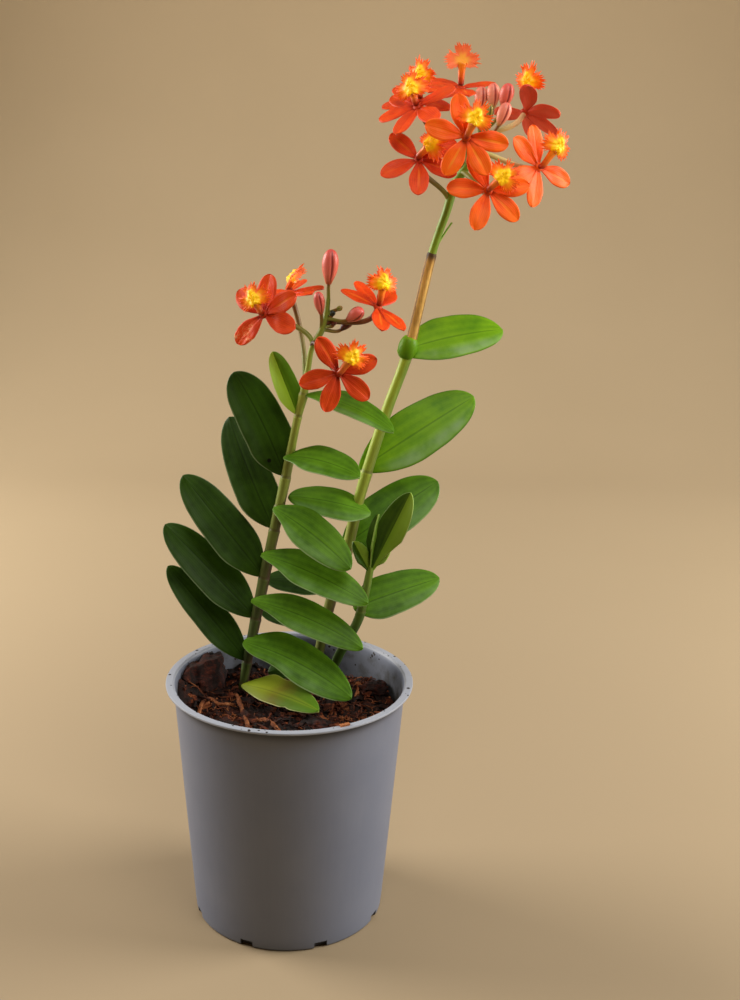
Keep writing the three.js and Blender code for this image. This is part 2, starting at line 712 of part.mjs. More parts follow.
const BUDS = [
  // foot and tip of the bud, its radius, and where its pedicel leaves the stalk
  { cane: "a", foot: [14.9, 9, 287], tip: [16, 8, 301.5], radius: 3.4, stalk: [14.9, 9.6, 280] },
  { cane: "a", foot: [12, 8, 274.5], tip: [10.6, 7, 284], radius: 2.3, stalk: [12, 10, 267] },
  { cane: "a", foot: [23, 6, 272.5], tip: [29.5, 4, 277.5], radius: 2.8, stalk: [14, 10, 271] },
  { cane: "a", foot: [20, 13, 267], tip: [25.5, 13, 272.5], radius: 2.0, stalk: [12, 10.2, 266.5] },
  { cane: "b", foot: [76, 24, 358], tip: [76.5, 25, 367], radius: 2.8, stalk: [76, 22, 344.5] },
  { cane: "b", foot: [81, 22, 358.5], tip: [81, 22, 368.5], radius: 2.7, stalk: [76, 22, 344.5] },
  { cane: "b", foot: [85, 19, 359], tip: [87, 17, 368.5], radius: 2.9, stalk: [76, 22, 344.5] },
  { cane: "b", foot: [83, 14, 352], tip: [86.5, 12.5, 361], radius: 2.7, stalk: [76, 22, 344] },
  { cane: "b", foot: [78.5, 17.5, 353], tip: [79.5, 16.5, 360.5], radius: 1.7, stalk: [76, 22, 344] },
];

const BUD_SEAT = 0.5; // how deep a pedicel's end lies in its bud
const BUD_PROFILE = [
  // along the bud, share of its radius
  [0, 0.36],
  [0.22, 0.7],
  [0.6, 1],
  [0.9, 0.7],
  [1, 0.22],
];

function budSolid({ foot, tip, radius, stalk }) {
  const low = vec(...foot);
  const high = vec(...tip);
  const rings = BUD_PROFILE.map(([t, share]) => [low.clone().lerp(high, t), radius * share]);
  const arrival = high.clone().sub(low).normalize();
  const joined = low.addScaledVector(arrival, BUD_SEAT);
  return bar(rings, 6).add(pedicelSolid(vec(...stalk), joined, arrival, 0.8, 0.75));
}

const BRACTS = [
  { cane: "a", z: 241, heading: 10, rise: 35, length: 6.5, width: 3.2 },
  { cane: "a", z: 257, heading: 160, rise: 70, length: 11, width: 2.4 },
  { cane: "b", z: 297, heading: 5, rise: 64, length: 17, width: 2.6 },
  { cane: "b", z: 327, heading: -40, rise: 30, length: 6, width: 2.8 },
];

function bractSolid({ cane, z, heading, rise, length, width }) {
  const [foot] = caneAt(cane, z);
  const along = direction(heading, rise);
  const face = direction(heading + 180, 90 - rise);
  const side = along.clone().cross(face);
  return blade(3, 2, face, () => 0.7, (u, t) =>
    foot
      .clone()
      .addScaledVector(along, length * t)
      .addScaledVector(side, 0.5 * width * (1 - 0.75 * t) * u)
      .addScaledVector(face, 0.3 * Math.abs(u) - 1.2 * t * t),
  );
}

function caneSolid(cane) {
  const grown = [bar(caneRings(cane, 0), CANE_SIDES)];
  for (const bloom of BLOOMS.filter(({ name }) => name[0] === cane)) {
    const { centre, out } = bloomFrame(bloom);
    const end = centre.addScaledVector(out, -HUB_BACK - GAP - 1);
    grown.push(pedicelSolid(vec(...bloom.stalk), end, out, 1.0, 1.15));
  }
  grown.push(...BUDS.filter((bud) => bud.cane === cane).map(budSolid));
  grown.push(...BRACTS.filter((bract) => bract.cane === cane).map(bractSolid));
  if (cane === "c") grown.push(...YOUNG_LEAVES.map(youngLeafSolid));
  return join(grown);
}

// ---- The plant, put together --------------------------------------------------------------------------

const plant = new THREE.Group();

plant.add(toMesh("pot", buildPot(), potPlastic));

const room = potRoom(POT_HEIGHT - 1);
let mix = buildMixBody();
for (const chunk of CHUNKS) {
  mix = mix.subtract(chunkSolid(chunk, GAP));
  plant.add(toMesh(chunk.name, chunkSolid(chunk, 0).intersect(room), barkChunk));
}
for (const root of ROOTS) {
  mix = mix.subtract(rootSolid(root, GAP));
  plant.add(toMesh(root.name, rootSolid(root, 0), rootSkin));
}
for (const cane of Object.keys(CANES)) mix = mix.subtract(bar(caneRings(cane, GAP), CANE_SIDES));
plant.add(toMesh("potting_mix", largestBody(mix), barkMix));

plant.add(toMesh("cane_a", caneSolid("a"), caneSkin));
plant.add(toMesh("cane_b", caneSolid("b"), caneSkin));
plant.add(toMesh("shoot_c", caneSolid("c"), caneSkin));

for (const leaf of LEAVES) {
  const clear = bar(caneRings(leaf.cane, GAP), CANE_SIDES);
  plant.add(toMesh(leaf.name, largestBody(leafSolid(leaf).subtract(clear)), leaf.skin));
}

for (const bloom of BLOOMS) {
  plant.add(toMesh(`bloom_${bloom.name}`, bloomSolid(bloom), tepalSkin));
  plant.add(toMesh(`lip_${bloom.name}`, lipSolid(bloom), lipSkin));
}

export default plant;
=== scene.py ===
"""A potted reed-stemmed epidendrum orchid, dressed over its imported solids.

Sizes and places are in millimetres, +Z up, from the centre of the pot's underside, as in the part's own
source. A finished mesh is brought to metres when its piece is made.
"""

import bmesh
import bpy
import math
import random
from mathutils import Matrix, Quaternion, Vector, noise


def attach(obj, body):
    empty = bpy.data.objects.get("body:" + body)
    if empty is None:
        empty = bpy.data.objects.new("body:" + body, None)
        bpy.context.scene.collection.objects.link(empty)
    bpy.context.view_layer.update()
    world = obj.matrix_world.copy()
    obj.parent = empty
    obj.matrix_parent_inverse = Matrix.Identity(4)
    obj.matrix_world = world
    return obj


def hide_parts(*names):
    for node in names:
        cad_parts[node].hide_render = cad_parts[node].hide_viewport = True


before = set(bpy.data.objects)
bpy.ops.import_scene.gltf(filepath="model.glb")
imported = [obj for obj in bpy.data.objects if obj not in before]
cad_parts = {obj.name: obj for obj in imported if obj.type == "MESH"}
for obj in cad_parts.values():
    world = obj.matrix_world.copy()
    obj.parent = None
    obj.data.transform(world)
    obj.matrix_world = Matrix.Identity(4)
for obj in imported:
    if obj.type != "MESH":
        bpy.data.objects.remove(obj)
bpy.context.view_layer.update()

# ---- Pot ----------------------------------------------------------------------------------------------
# An injection-moulded nursery pot in matt grey-lavender plastic. Its thin wall tapers to the foot, its rim
# is turned out flat, and drain notches are cut through the foot's edge. Soil clings inside and on the rim.

MM = 0.001
POT_HEIGHT = 112
POT_RIM_RADIUS = 55
POT_BASE_RADIUS = 43
POT_WALL = 1
POT_FLOOR = 1.6
POT_SHOULDER_RADIUS = 51.5
POT_SHOULDER_HEIGHT = 109.4
POT_STEPS = 180
DRAIN_NOTCHES = 8
DRAIN_NOTCH = (5, 6, 6.8)  # depth, width along the edge, height of the cutter, half of it below the foot
POT_SLOPE = (POT_SHOULDER_RADIUS - POT_BASE_RADIUS) / POT_SHOULDER_HEIGHT  # how far the wall leans out


class Reading:
    """A number, colour or vector that the shader works out for each spot of a surface."""

    def __init__(self, socket):
        self.socket = socket

    def worked(self, operation, first, second):
        node = self.socket.id_data.nodes.new("ShaderNodeMath")
        node.operation = operation
        feed(node.inputs[0], first)
        feed(node.inputs[1], second)
        return Reading(node.outputs[0])

    def __add__(self, other):
        return self.worked("ADD", self, other)

    def __radd__(self, other):
        return self.worked("ADD", other, self)

    def __sub__(self, other):
        return self.worked("SUBTRACT", self, other)

    def __rsub__(self, other):
        return self.worked("SUBTRACT", other, self)

    def __mul__(self, other):
        return self.worked("MULTIPLY", self, other)

    def __rmul__(self, other):
        return self.worked("MULTIPLY", other, self)

    def __abs__(self):
        return self.worked("ABSOLUTE", self, 0.0)


def feed(entry, value):
    """Gives a socket a constant or a colour's code, or links it to a reading."""
    if isinstance(value, Reading):
        entry.id_data.links.new(value.socket, entry)
    else:
        entry.default_value = paint(value) if isinstance(value, str) else value


def paint(code):
    """A colour written as #rrggbb, as the shader's linear red, green, blue and alpha."""
    shares = [int(code[i : i + 2], 16) / 255 for i in (1, 3, 5)]
    return (*[s / 12.92 if s <= 0.04045 else ((s + 0.055) / 1.055) ** 2.4 for s in shares], 1.0)


class Finish:
    """A material: one Principled shader, its constants, and the nodes that vary it over the surface."""

    def __init__(self, name, **constants):
        self.material = bpy.data.materials.new(name)
        self.material.use_nodes = True
        self.tree = self.material.node_tree
        self.shader = self.tree.nodes["Principled BSDF"]
        self.place = self.add("ShaderNodeTexCoord", output="Object")
        self.set(**constants)

    def set(self, **values):
        for name, value in values.items():
            feed(self.shader.inputs[name.replace("_", " ")], value)

    def add(self, kind, settings=None, inputs=None, output=0):
        node = self.tree.nodes.new(kind)
        for name, value in (settings or {}).items():
            if name != "stops":
                setattr(node, name, value)
                continue
            for position, _ in value[1:-1]:
                node.color_ramp.elements.new(position)
            for stop, (position, colour) in zip(node.color_ramp.elements, value):
                stop.position = position
                stop.color = paint(colour)
        for name, value in (inputs or {}).items():
            feed(node.inputs[name], value)
        return Reading(node.outputs[output])

    def attribute(self, name):
        return self.add("ShaderNodeAttribute", {"attribute_name": name}, output="Fac")

    def axis(self, name):
        """The place along X, Y or Z, in millimetres."""
        return self.add("ShaderNodeSeparateXYZ", inputs={"Vector": self.place}, output=name) * (1 / MM)

    def from_axis(self):
        """The distance from the upright line through the middle of the pot, in millimetres."""
        flat = self.stretched((1, 1, 0))
        return self.add("ShaderNodeVectorMath", {"operation": "LENGTH"}, {0: flat}, "Value") * (1 / MM)

    def ramp(self, share, *stops):
        return self.add("ShaderNodeValToRGB", {"stops": stops}, {"Fac": share}, "Color")

    def blend(self, share, first, second, how="MIX"):
        settings = {"data_type": "RGBA", "blend_type": how}
        return self.add("ShaderNodeMix", settings, {0: share, 6: first, 7: second}, 2)

    def step(self, value, low, high):
        """0 below low and 1 above high, with a soft change between them."""
        inputs = {"Value": value, "From Min": low, "From Max": high}
        return self.add("ShaderNodeMapRange", {"interpolation_type": "SMOOTHSTEP"}, inputs)

    def fade(self, value, low, high):
        """1 below low and 0 above high."""
        return 1 - self.step(value, low, high)

    def between(self, value, low, full, end, gone):
        """Rises to 1 from low to full, and falls back to 0 from end to gone."""
        return self.step(value, low, full) * self.fade(value, end, gone)

    def waves(self, phase):
        """Stripes that go from 0 to 1 and back for each full turn of phase, in radians."""
        return self.add("ShaderNodeMath", {"operation": "SINE"}, {0: phase}) * 0.5 + 0.5

    def stretched(self, stretch):
        return self.add("ShaderNodeVectorMath", {"operation": "MULTIPLY"}, {0: self.place, 1: stretch})

    def grain(self, size, detail=3.0, stretch=(1, 1, 1), rough=0.55):
        """Cloudy noise whose blotches are about size millimetres across."""
        where = self.stretched(stretch)
        inputs = {"Vector": where, "Scale": 1 / (size * MM), "Detail": detail, "Roughness": rough}
        return self.add("ShaderNodeTexNoise", inputs=inputs, output="Fac")

    def specks(self, size):
        """Distance, in shares of size, to the nearest of a scatter of points."""
        inputs = {"Vector": self.place, "Scale": 1 / (size * MM), "Randomness": 1.0}
        return self.add("ShaderNodeTexVoronoi", inputs=inputs, output="Distance")

    def flecks(self, size, patch, low, high):
        """Small spots about size millimetres apart, kept to clouds of the size patch by low and high."""
        return self.fade(self.specks(size), 0.02, 0.045) * self.step(self.grain(patch, 1), low, high)

    def relief(self, height, depth, strength=1.0):
        """Raises the surface by height, a share from 0 to 1, times depth in millimetres."""
        inputs = {"Height": height, "Distance": depth * MM, "Strength": strength}
        self.set(Normal=self.add("ShaderNodeBump", inputs=inputs))


def make_object(name, bm, smooth=True):
    """Turns a bmesh in millimetres into an object in metres."""
    bmesh.ops.scale(bm, vec=(MM, MM, MM), verts=bm.verts)
    for face in bm.faces:
        face.smooth = smooth
    mesh = bpy.data.meshes.new(name)
    bm.to_mesh(mesh)
    bm.free()
    made = bpy.data.objects.new(name, mesh)
    bpy.context.scene.collection.objects.link(made)
    return made


def make_piece(name, bm, finishes, nodes=(), sharp=50):
    """Makes a closed bmesh the named piece, riding on the one body of the part."""
    piece = make_object(name, bm)
    piece.data.set_sharp_from_angle(angle=math.radians(sharp))
    for finish in finishes:
        piece.data.materials.append(finish.material)
    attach(piece, "root")
    if nodes:
        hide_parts(*nodes)
    return piece


def pot_outer_radius(z):
    return POT_BASE_RADIUS + POT_SLOPE * z


def pot_inner_radius(z):
    return pot_outer_radius(z) - POT_WALL


def rounded(r, z, radius, first, last, points=5):
    """Points of a rounded corner round (r, z), by angles from outwards, 0, to upwards, 90."""
    angles = [math.radians(first + (last - first) * i / (points - 1)) for i in range(points)]
    return [(r + radius * math.cos(a), z + radius * math.sin(a)) for a in angles]


def spun(profile, steps):
    """A bmesh made by turning a profile of (radius, height) points about Z."""
    bm = bmesh.new()
    verts = [bm.verts.new((r, 0, z)) for r, z in profile]
    edges = [bm.edges.new(pair) for pair in zip(verts, verts[1:])]
    whole = {"cent": (0, 0, 0), "axis": (0, 0, 1), "angle": 2 * math.pi, "use_merge": True}
    bmesh.ops.spin(bm, geom=verts + edges, steps=steps, **whole)
    bmesh.ops.remove_doubles(bm, verts=bm.verts, dist=1e-4)
    bmesh.ops.recalc_face_normals(bm, faces=bm.faces)
    return bm


pot_profile = [
    (0, 0.5),
    (POT_BASE_RADIUS - 5, 0.5),
    (POT_BASE_RADIUS - 4.4, 0),
    *rounded(POT_BASE_RADIUS - 1.4, 1.4, 1.4, -90, 0),
    *[(pot_outer_radius(z), z) for z in (6, 12, 30, 55, 80, 100)],
    (POT_SHOULDER_RADIUS, POT_SHOULDER_HEIGHT),
    (POT_SHOULDER_RADIUS + 0.6, POT_SHOULDER_HEIGHT + 1.3),
    *rounded(POT_RIM_RADIUS - 0.5, POT_SHOULDER_HEIGHT + 1.9, 0.5, -90, 0),
    *rounded(POT_RIM_RADIUS - 0.4, POT_HEIGHT - 0.4, 0.4, 0, 90),
    (POT_RIM_RADIUS - 3, POT_HEIGHT),
    (POT_SHOULDER_RADIUS - 0.3, POT_HEIGHT - 0.8),
    (pot_inner_radius(POT_SHOULDER_HEIGHT), POT_SHOULDER_HEIGHT),
    *[(pot_inner_radius(z), z) for z in (100, 80, 40, 3)],
    (pot_inner_radius(POT_FLOOR) - 1, POT_FLOOR),
    (0, POT_FLOOR),
]

notch_cutter = bmesh.new()
for i in range(DRAIN_NOTCHES):
    notch = bmesh.ops.create_cube(notch_cutter, size=1)["verts"]
    bmesh.ops.scale(notch_cutter, vec=DRAIN_NOTCH, verts=notch)
    bmesh.ops.translate(notch_cutter, vec=(POT_BASE_RADIUS, 0, 0), verts=notch)
    turn = Matrix.Rotation(2 * math.pi * (i + 0.5) / DRAIN_NOTCHES, 3, "Z")
    bmesh.ops.rotate(notch_cutter, cent=(0, 0, 0), matrix=turn, verts=notch)
cutter = make_object("notch_cutter", notch_cutter, smooth=False)

pot_plastic = Finish("pot_plastic", Specular_IOR_Level=0.4)
height = pot_plastic.axis("Z")
cloud = pot_plastic.grain(30, 2)
drawn = pot_plastic.grain(2.2, 3, stretch=(1, 1, 0.06))
shade = pot_plastic.ramp(cloud * 0.8 + drawn * 0.2, (0.3, "#70778a"), (0.7, "#797f90"))
behind = pot_outer_radius(height) - pot_plastic.from_axis()  # how far inside the outer wall
inside = pot_plastic.step(behind, 0.4, 0.8)
outside = 1 - inside
on_rim = pot_plastic.step(height, POT_HEIGHT - 0.3, POT_HEIGHT - 0.05)
smear = inside * (0.6 + 0.4 * pot_plastic.step(pot_plastic.grain(9, 5), 0.42, 0.62))
smear = smear * pot_plastic.fade(height, POT_HEIGHT - 7, POT_HEIGHT + 1.2)
# the inner wall is darkened more towards the far right
far_right = pot_plastic.step(pot_plastic.axis("X"), 41, 50)
shade = pot_plastic.blend(smear * (0.8 + 0.16 * far_right), shade, "#37332a")
# painted light: the flat top of the rim is painted paler, as if lit from above
painted_light_on_rim_top = pot_plastic.step(height, POT_HEIGHT - 1.1, POT_HEIGHT - 0.7)
shade = pot_plastic.blend(painted_light_on_rim_top * outside, shade, "#989da9")
# painted shade: a dark band is painted on the outer wall just below the rim's lip, where its shadow falls
painted_shade_under_rim = pot_plastic.between(height, *(POT_HEIGHT - down for down in (8.5, 2.8, 2.4, 2)))
shade = pot_plastic.blend(painted_shade_under_rim * painted_shade_under_rim * outside * 0.8, shade, "#23242a")
speck_size = pot_plastic.step(pot_plastic.grain(8, 2), 0.46, 0.68) * 0.3
specked = pot_plastic.fade(pot_plastic.specks(2.8) - speck_size, 0.0, 0.05)
shade = pot_plastic.blend(specked * (inside + on_rim * outside), shade, "#1c120e")
stray = pot_plastic.fade(pot_plastic.specks(24), 0.008, 0.014)
shade = pot_plastic.blend(stray * 0.5, shade, "#4a4240")
scuff = pot_plastic.step(pot_plastic.grain(1.1, 4, stretch=(1, 1, 0.3)), 0.62, 0.75)
pot_plastic.set(Base_Color=shade, Roughness=0.48 + 0.1 * cloud + 0.3 * smear + 0.06 * scuff)
pot_plastic.relief(drawn * 0.6 + pot_plastic.grain(0.7, 2) * 0.4, 0.04, 0.5)

pot = make_piece("plastic_pot", spun(pot_profile, POT_STEPS), [pot_plastic], ["pot"], sharp=40)
cut = pot.modifiers.new("drain_notches", "BOOLEAN")
cut.object = cutter
cut.solver = "EXACT"
cut_mesh = bpy.data.meshes.new_from_object(pot.evaluated_get(bpy.context.evaluated_depsgraph_get()))
pot.modifiers.clear()
pot.data = cut_mesh
bpy.data.objects.remove(cutter)

# ---- Potting mix --------------------------------------------------------------------------------------
# Coarse bark and coir that fills the pot to a finger's width below the rim: one settled body with broad
# mounds, loose chips and crumbs that lie on it, and pale coir threads between them.

GAP = 0.3  # play between pieces that meet
MIX_LEVEL = 95
MIX_LUMP = 1.8
MIX_RINGS = 75
MIX_STEPS = 260
MIX_MOUNDS = [
    # x, y, radius, height
    (34, 24, 11, 4.5),
    (-22, 40, 10, 5),
    (-34, 12, 12, 2.5),
    (6, -14, 9, 1.6),
    (-46, 3, 9, 8),
]
BANK_HEADING = 172  # where the mix lies banked against the wall, in degrees from +X
BANK_SPREAD = 0.55  # how far the bank goes on to either side, in radians
BANK_HEIGHT = 7
BANK_FOOT = 40  # where it starts to rise, from the pot's axis
BANK_RUN = 9  # how much further out it has its full height
CHIPS = 420
CHIP_SIDE = (2.2, 7.5)
CRUMBS = 1700
CRUMB_SIDE = (0.6, 2.3)
THREADS = 150
THREAD_RINGS = 8
RIM_CHIP = ((25.6, -46.2, 112.3), (4.2, 1.7, 0.8), 28)  # place, sizes, turn
chance = random.Random(11)


def hump(off, width):
    """1 where off is 0, fading away on both sides and all but gone at twice the width."""
    return math.exp(-((off / width) ** 2))


def ripple(x, y, scale, phase):
    """A smooth number between -1 and 1 that depends on a place alone."""
    a = math.sin(x / scale + phase) * math.cos(y / scale - 1.7 * phase)
    b = math.sin((x + y) / (0.53 * scale) + 2.3 * phase)
    return 0.62 * a + 0.38 * b


def mix_surface(x, y):
    """Height of the mix's broad shape, without its crumbs."""
    z = MIX_LEVEL + MIX_LUMP * (0.7 * ripple(x, y, 6.1, 0.4) + 0.5 * ripple(x, y, 3.1, 2.1))
    turn = (math.atan2(y, x) - math.radians(BANK_HEADING)) % (2 * math.pi)
    beside = min(turn, 2 * math.pi - turn)
    near_wall = min(1.0, max(0.0, (math.hypot(x, y) - BANK_FOOT) / BANK_RUN))
    z += BANK_HEIGHT * hump(beside, BANK_SPREAD) * near_wall**2
    for mx, my, radius, rise in MIX_MOUNDS:
        z += rise * hump(math.hypot(x - mx, y - my), radius)
    return z


def crumbly(x, y):
    """How far the crumbs of the surface stand above or below its broad shape."""
    coarse = noise.noise(Vector((x / 3.1, y / 3.1, 0.3)))
    fine = noise.noise(Vector((x / 1.1, y / 1.1, 4.3)))
    return 1.5 * abs(coarse) + 0.9 * fine - 0.7


def vertex_layers(bm, *names):
    """The number layers of these names on the vertices, made where they aren't there yet."""
    layers = bm.verts.layers.float
    return [layers.get(name) or layers.new(name) for name in names]


def bar(bm, rings, sides, form=None):
    """Adds a closed round bar through rings of (centre, radius), its section carried along untwisted.

    The layers along and around keep each vertex's share of the length and its angle round the section.
    form(around, along), where it is given, is the share of the radius there.
    """
    along, around = vertex_layers(bm, "along", "around")
    ring = bmesh.ops.create_circle(bm, cap_ends=False, radius=1, segments=sides)["verts"]
    for vert in ring:
        vert[around] = math.atan2(vert.co.y, vert.co.x)
    made = list(ring)
    edges = list({edge for vert in ring for edge in vert.link_edges})
    first_edges = edges
    across = None
    for i, (centre, radius) in enumerate(rings):
        if i:
            grown = bmesh.ops.extrude_edge_only(bm, edges=edges)["geom"]
            ring = [g for g in grown if isinstance(g, bmesh.types.BMVert)]
            ring_set = set(ring)
            edges = [g for g in grown if isinstance(g, bmesh.types.BMEdge) and ring_set.issuperset(g.verts)]
            made += ring
        ahead = (rings[min(len(rings) - 1, i + 1)][0] - rings[max(0, i - 1)][0]).normalized()
        seed = across or (Vector((1, 0, 0)) if abs(ahead.x) < 0.8 else Vector((0, 1, 0)))
        across = (seed - ahead * seed.dot(ahead)).normalized()
        third = ahead.cross(across)
        share = i / (len(rings) - 1)
        for vert in ring:
            angle = vert[around]
            reach = radius * (form(angle, share) if form else 1)
            vert[along] = share
            vert.co = centre + across * (math.cos(angle) * reach) + third * (math.sin(angle) * reach)
    bmesh.ops.edgeloop_fill(bm, edges=first_edges)
    bmesh.ops.edgeloop_fill(bm, edges=edges)
    bm.normal_update()
    bmesh.ops.recalc_face_normals(bm, faces=list({f for vert in made for f in vert.link_faces}))
    return made


def through(points, share):
    """The place at a share of the way along a centripetal Catmull-Rom curve through points."""
    last = len(points) - 1
    i = min(last - 1, int(share * last))
    t = share * last - i
    p1, p2 = points[i], points[i + 1]
    p0 = points[i - 1] if i else p1 * 2 - p2
    p3 = points[i + 2] if i + 2 <= last else p2 * 2 - p1
    d0, d1, d2 = (max(1e-4, (b - a).length ** 0.5) for a, b in ((p0, p1), (p1, p2), (p2, p3)))
    out = ((p1 - p0) / d0 - (p2 - p0) / (d0 + d1) + (p2 - p1) / d1) * d1
    into = ((p2 - p1) / d1 - (p3 - p1) / (d1 + d2) + (p3 - p2) / d2) * d1
    bend = p1 * 2 - p2 * 2 + out + into
    return p1 + out * t + (p2 * 3 - p1 * 3 - out * 2 - into) * t**2 + bend * t**3


bark_mix = Finish("bark_mix", Specular_IOR_Level=0.25)
patch = bark_mix.grain(7, 4)
flake = bark_mix.grain(1.1, 5, rough=0.7)
soil_colour = bark_mix.ramp(
    patch * 0.55 + flake * 0.45 + bark_mix.attribute("tint") * 0.3,
    (0.4, "#0b0504"),
    (0.5, "#1c0c07"),
    (0.6, "#3c190d"),
    (0.72, "#713418"),
    (0.85, "#9c6038"),
)
bark_mix.set(Base_Color=soil_colour, Roughness=0.72 + 0.2 * flake)
bark_mix.relief(flake, 0.5, 0.9)

mix_edge = pot_inner_radius(MIX_LEVEL) - GAP
mix_profile = [(0, POT_FLOOR + GAP), (pot_inner_radius(POT_FLOOR) - 1.6, POT_FLOOR + GAP)]
mix_profile += [(pot_inner_radius(z) - GAP, z) for z in (4, 40, 80, 92)]
mix_profile += [(mix_edge * i / MIX_RINGS, MIX_LEVEL) for i in range(MIX_RINGS, -1, -1)]
mix = spun(mix_profile, MIX_STEPS)
for vert in mix.verts:
    if vert.co.z > MIX_LEVEL - 1:
        vert.co.z = mix_surface(vert.co.x, vert.co.y) + crumbly(vert.co.x, vert.co.y)
        reach = vert.co.xy.length
        if reach > mix_edge - 0.1:
            vert.co.xy *= (pot_inner_radius(vert.co.z) - GAP) / reach
make_piece("mix_body", mix, [bark_mix], ["potting_mix"], sharp=80)


def scattered(reach):
    """A random place on the mix, no further than reach from the pot's axis."""
    angle = chance.uniform(0, 2 * math.pi)
    r = reach * math.sqrt(chance.random())
    x, y = r * math.cos(angle), r * math.sin(angle)
    return Vector((x, y, mix_surface(x, y) + crumbly(x, y)))


def any_turn():
    axis = Vector((chance.gauss(0, 1), chance.gauss(0, 1), chance.gauss(0, 1))).normalized()
    return Quaternion(axis, chance.uniform(0, 2 * math.pi)).to_matrix()


def any_tint():
    """A share from dark, which most fragments are, to pale."""
    return chance.random() ** 2.6


scratch = bpy.data.meshes.new("fragment")


def fragment(heap, tints, kind, sizes, place, turn, jitter, tint):
    """Roughens a small block, scales and turns it, and adds it to the heap at its place."""
    small = bmesh.new()
    if kind == "chip":
        bmesh.ops.create_cube(small, size=1)
        bmesh.ops.subdivide_edges(small, edges=small.edges, cuts=1, use_grid_fill=True)
    else:
        bmesh.ops.create_icosphere(small, subdivisions=1, radius=0.5)
    for vert in small.verts:
        vert.co *= chance.uniform(1 - jitter, 1 + jitter)
    shape = Matrix.Translation(place) @ turn.to_4x4() @ Matrix.Diagonal((*sizes, 1))
    bmesh.ops.transform(small, matrix=shape, verts=small.verts)
    small.to_mesh(scratch)
    tints += [tint] * len(small.verts)
    small.free()
    heap.from_mesh(scratch)


chips = bmesh.new()
chip_tints = []
for _ in range(CHIPS):
    long_side = chance.uniform(*CHIP_SIDE)
    sizes = (long_side, long_side * chance.uniform(0.25, 0.65), chance.uniform(0.7, 1.9))
    lean = Matrix.Rotation(chance.gauss(0, 0.45), 3, "X") @ Matrix.Rotation(chance.gauss(0, 0.45), 3, "Y")
    spot = scattered(mix_edge - 2 - long_side * 0.4)
    turn = Matrix.Rotation(chance.uniform(0, 6.3), 3, "Z") @ lean
    fragment(chips, chip_tints, "chip", sizes, spot, turn, 0.2, any_tint())
for _ in range(CRUMBS):
    size = chance.uniform(*CRUMB_SIDE)
    sizes = (size, size * chance.uniform(0.6, 1), size * chance.uniform(0.4, 0.9))
    spot = scattered(mix_edge - 1)
    turn = any_turn()
    fragment(chips, chip_tints, "crumb", sizes, spot, turn, 0.25, any_tint())
place, sizes, turn = RIM_CHIP
turn = Matrix.Rotation(math.radians(turn), 3, "Z")
fragment(chips, chip_tints, "chip", sizes, Vector(place), turn, 0.15, 1.6)
(tint_layer,) = vertex_layers(chips, "tint")
for vert, tint in zip(chips.verts, chip_tints):
    vert[tint_layer] = tint
make_piece("bark_chips", chips, [bark_mix], sharp=35)
bpy.data.meshes.remove(scratch)

coir_thread = Finish("coir_thread", Roughness=0.75, Specular_IOR_Level=0.3)
coir_stops = ((0.35, "#35160b"), (0.52, "#6c3416"), (0.68, "#a86838"))
coir_thread.set(Base_Color=coir_thread.ramp(coir_thread.grain(9, 3), *coir_stops))
threads = bmesh.new()
for _ in range(THREADS):
    start = scattered(mix_edge - 7)
    heading = chance.uniform(0, 2 * math.pi)
    stride = chance.uniform(0.8, 2.0)
    thin = chance.uniform(0.1, 0.3)
    rings = []
    for i in range(THREAD_RINGS):
        x = start.x + stride * i * math.cos(heading) * 0.9
        y = start.y + stride * i * math.sin(heading) * 0.9
        if math.hypot(x, y) > mix_edge - 1:
            break
        lift = 0.5 + 0.9 * math.sin(math.pi * i / (THREAD_RINGS - 1))
        rings.append((Vector((x, y, mix_surface(x, y) + crumbly(x, y) * 0.6 + lift)), thin))
        heading += chance.gauss(0, 0.35)
    if len(rings) > 3:
        bar(threads, rings, 4)
make_piece("coir_threads", threads, [coir_thread])

# ---- Bark chunks --------------------------------------------------------------------------------------
# Four large pieces of husk and bark in the mix. The one at the back left stands up to the pot's rim. They
# are dark and fibrous, with layers that break out in ridges.

CHUNKS = {
    # name of the piece and of its solid, centre, half sizes, turn about Z in degrees
    "chunk_back_left": ("bark_chunk_back_left", (-42, 20.5, 100.8), (7.2, 16.5, 11.4), -27),
    "chunk_left": ("bark_chunk_left", (-29.5, -14, 94), (6, 4.5, 3.5), 20),
    "chunk_right": ("bark_chunk_right", (38, 20, 97.5), (7, 5.5, 4.5), 30),
    "chunk_front": ("bark_chunk_front", (13, -12, 94.5), (7, 5, 4), -25),
}
CHUNK_TOP = 111
CHUNK_SQUARENESS = 2.5  # 2 is an ellipsoid, and more is boxier

bark_chunk = Finish("bark_chunk", Specular_IOR_Level=0.3)
husk = bark_chunk.grain(5, 5, stretch=(1, 1, 0.5))
fibre = bark_chunk.grain(0.9, 4, stretch=(0.3, 1, 1.4))
bark_colour = bark_chunk.ramp(
    husk * 0.6 + fibre * 0.4,
    (0.38, "#0c0504"),
    (0.5, "#220d08"),
    (0.6, "#451a0e"),
    (0.72, "#7a3c20"),
)
bark_chunk.set(Base_Color=bark_colour, Roughness=0.7 + 0.25 * fibre)
bark_chunk.relief(fibre * 0.6 + husk * 0.4, 0.8, 0.9)

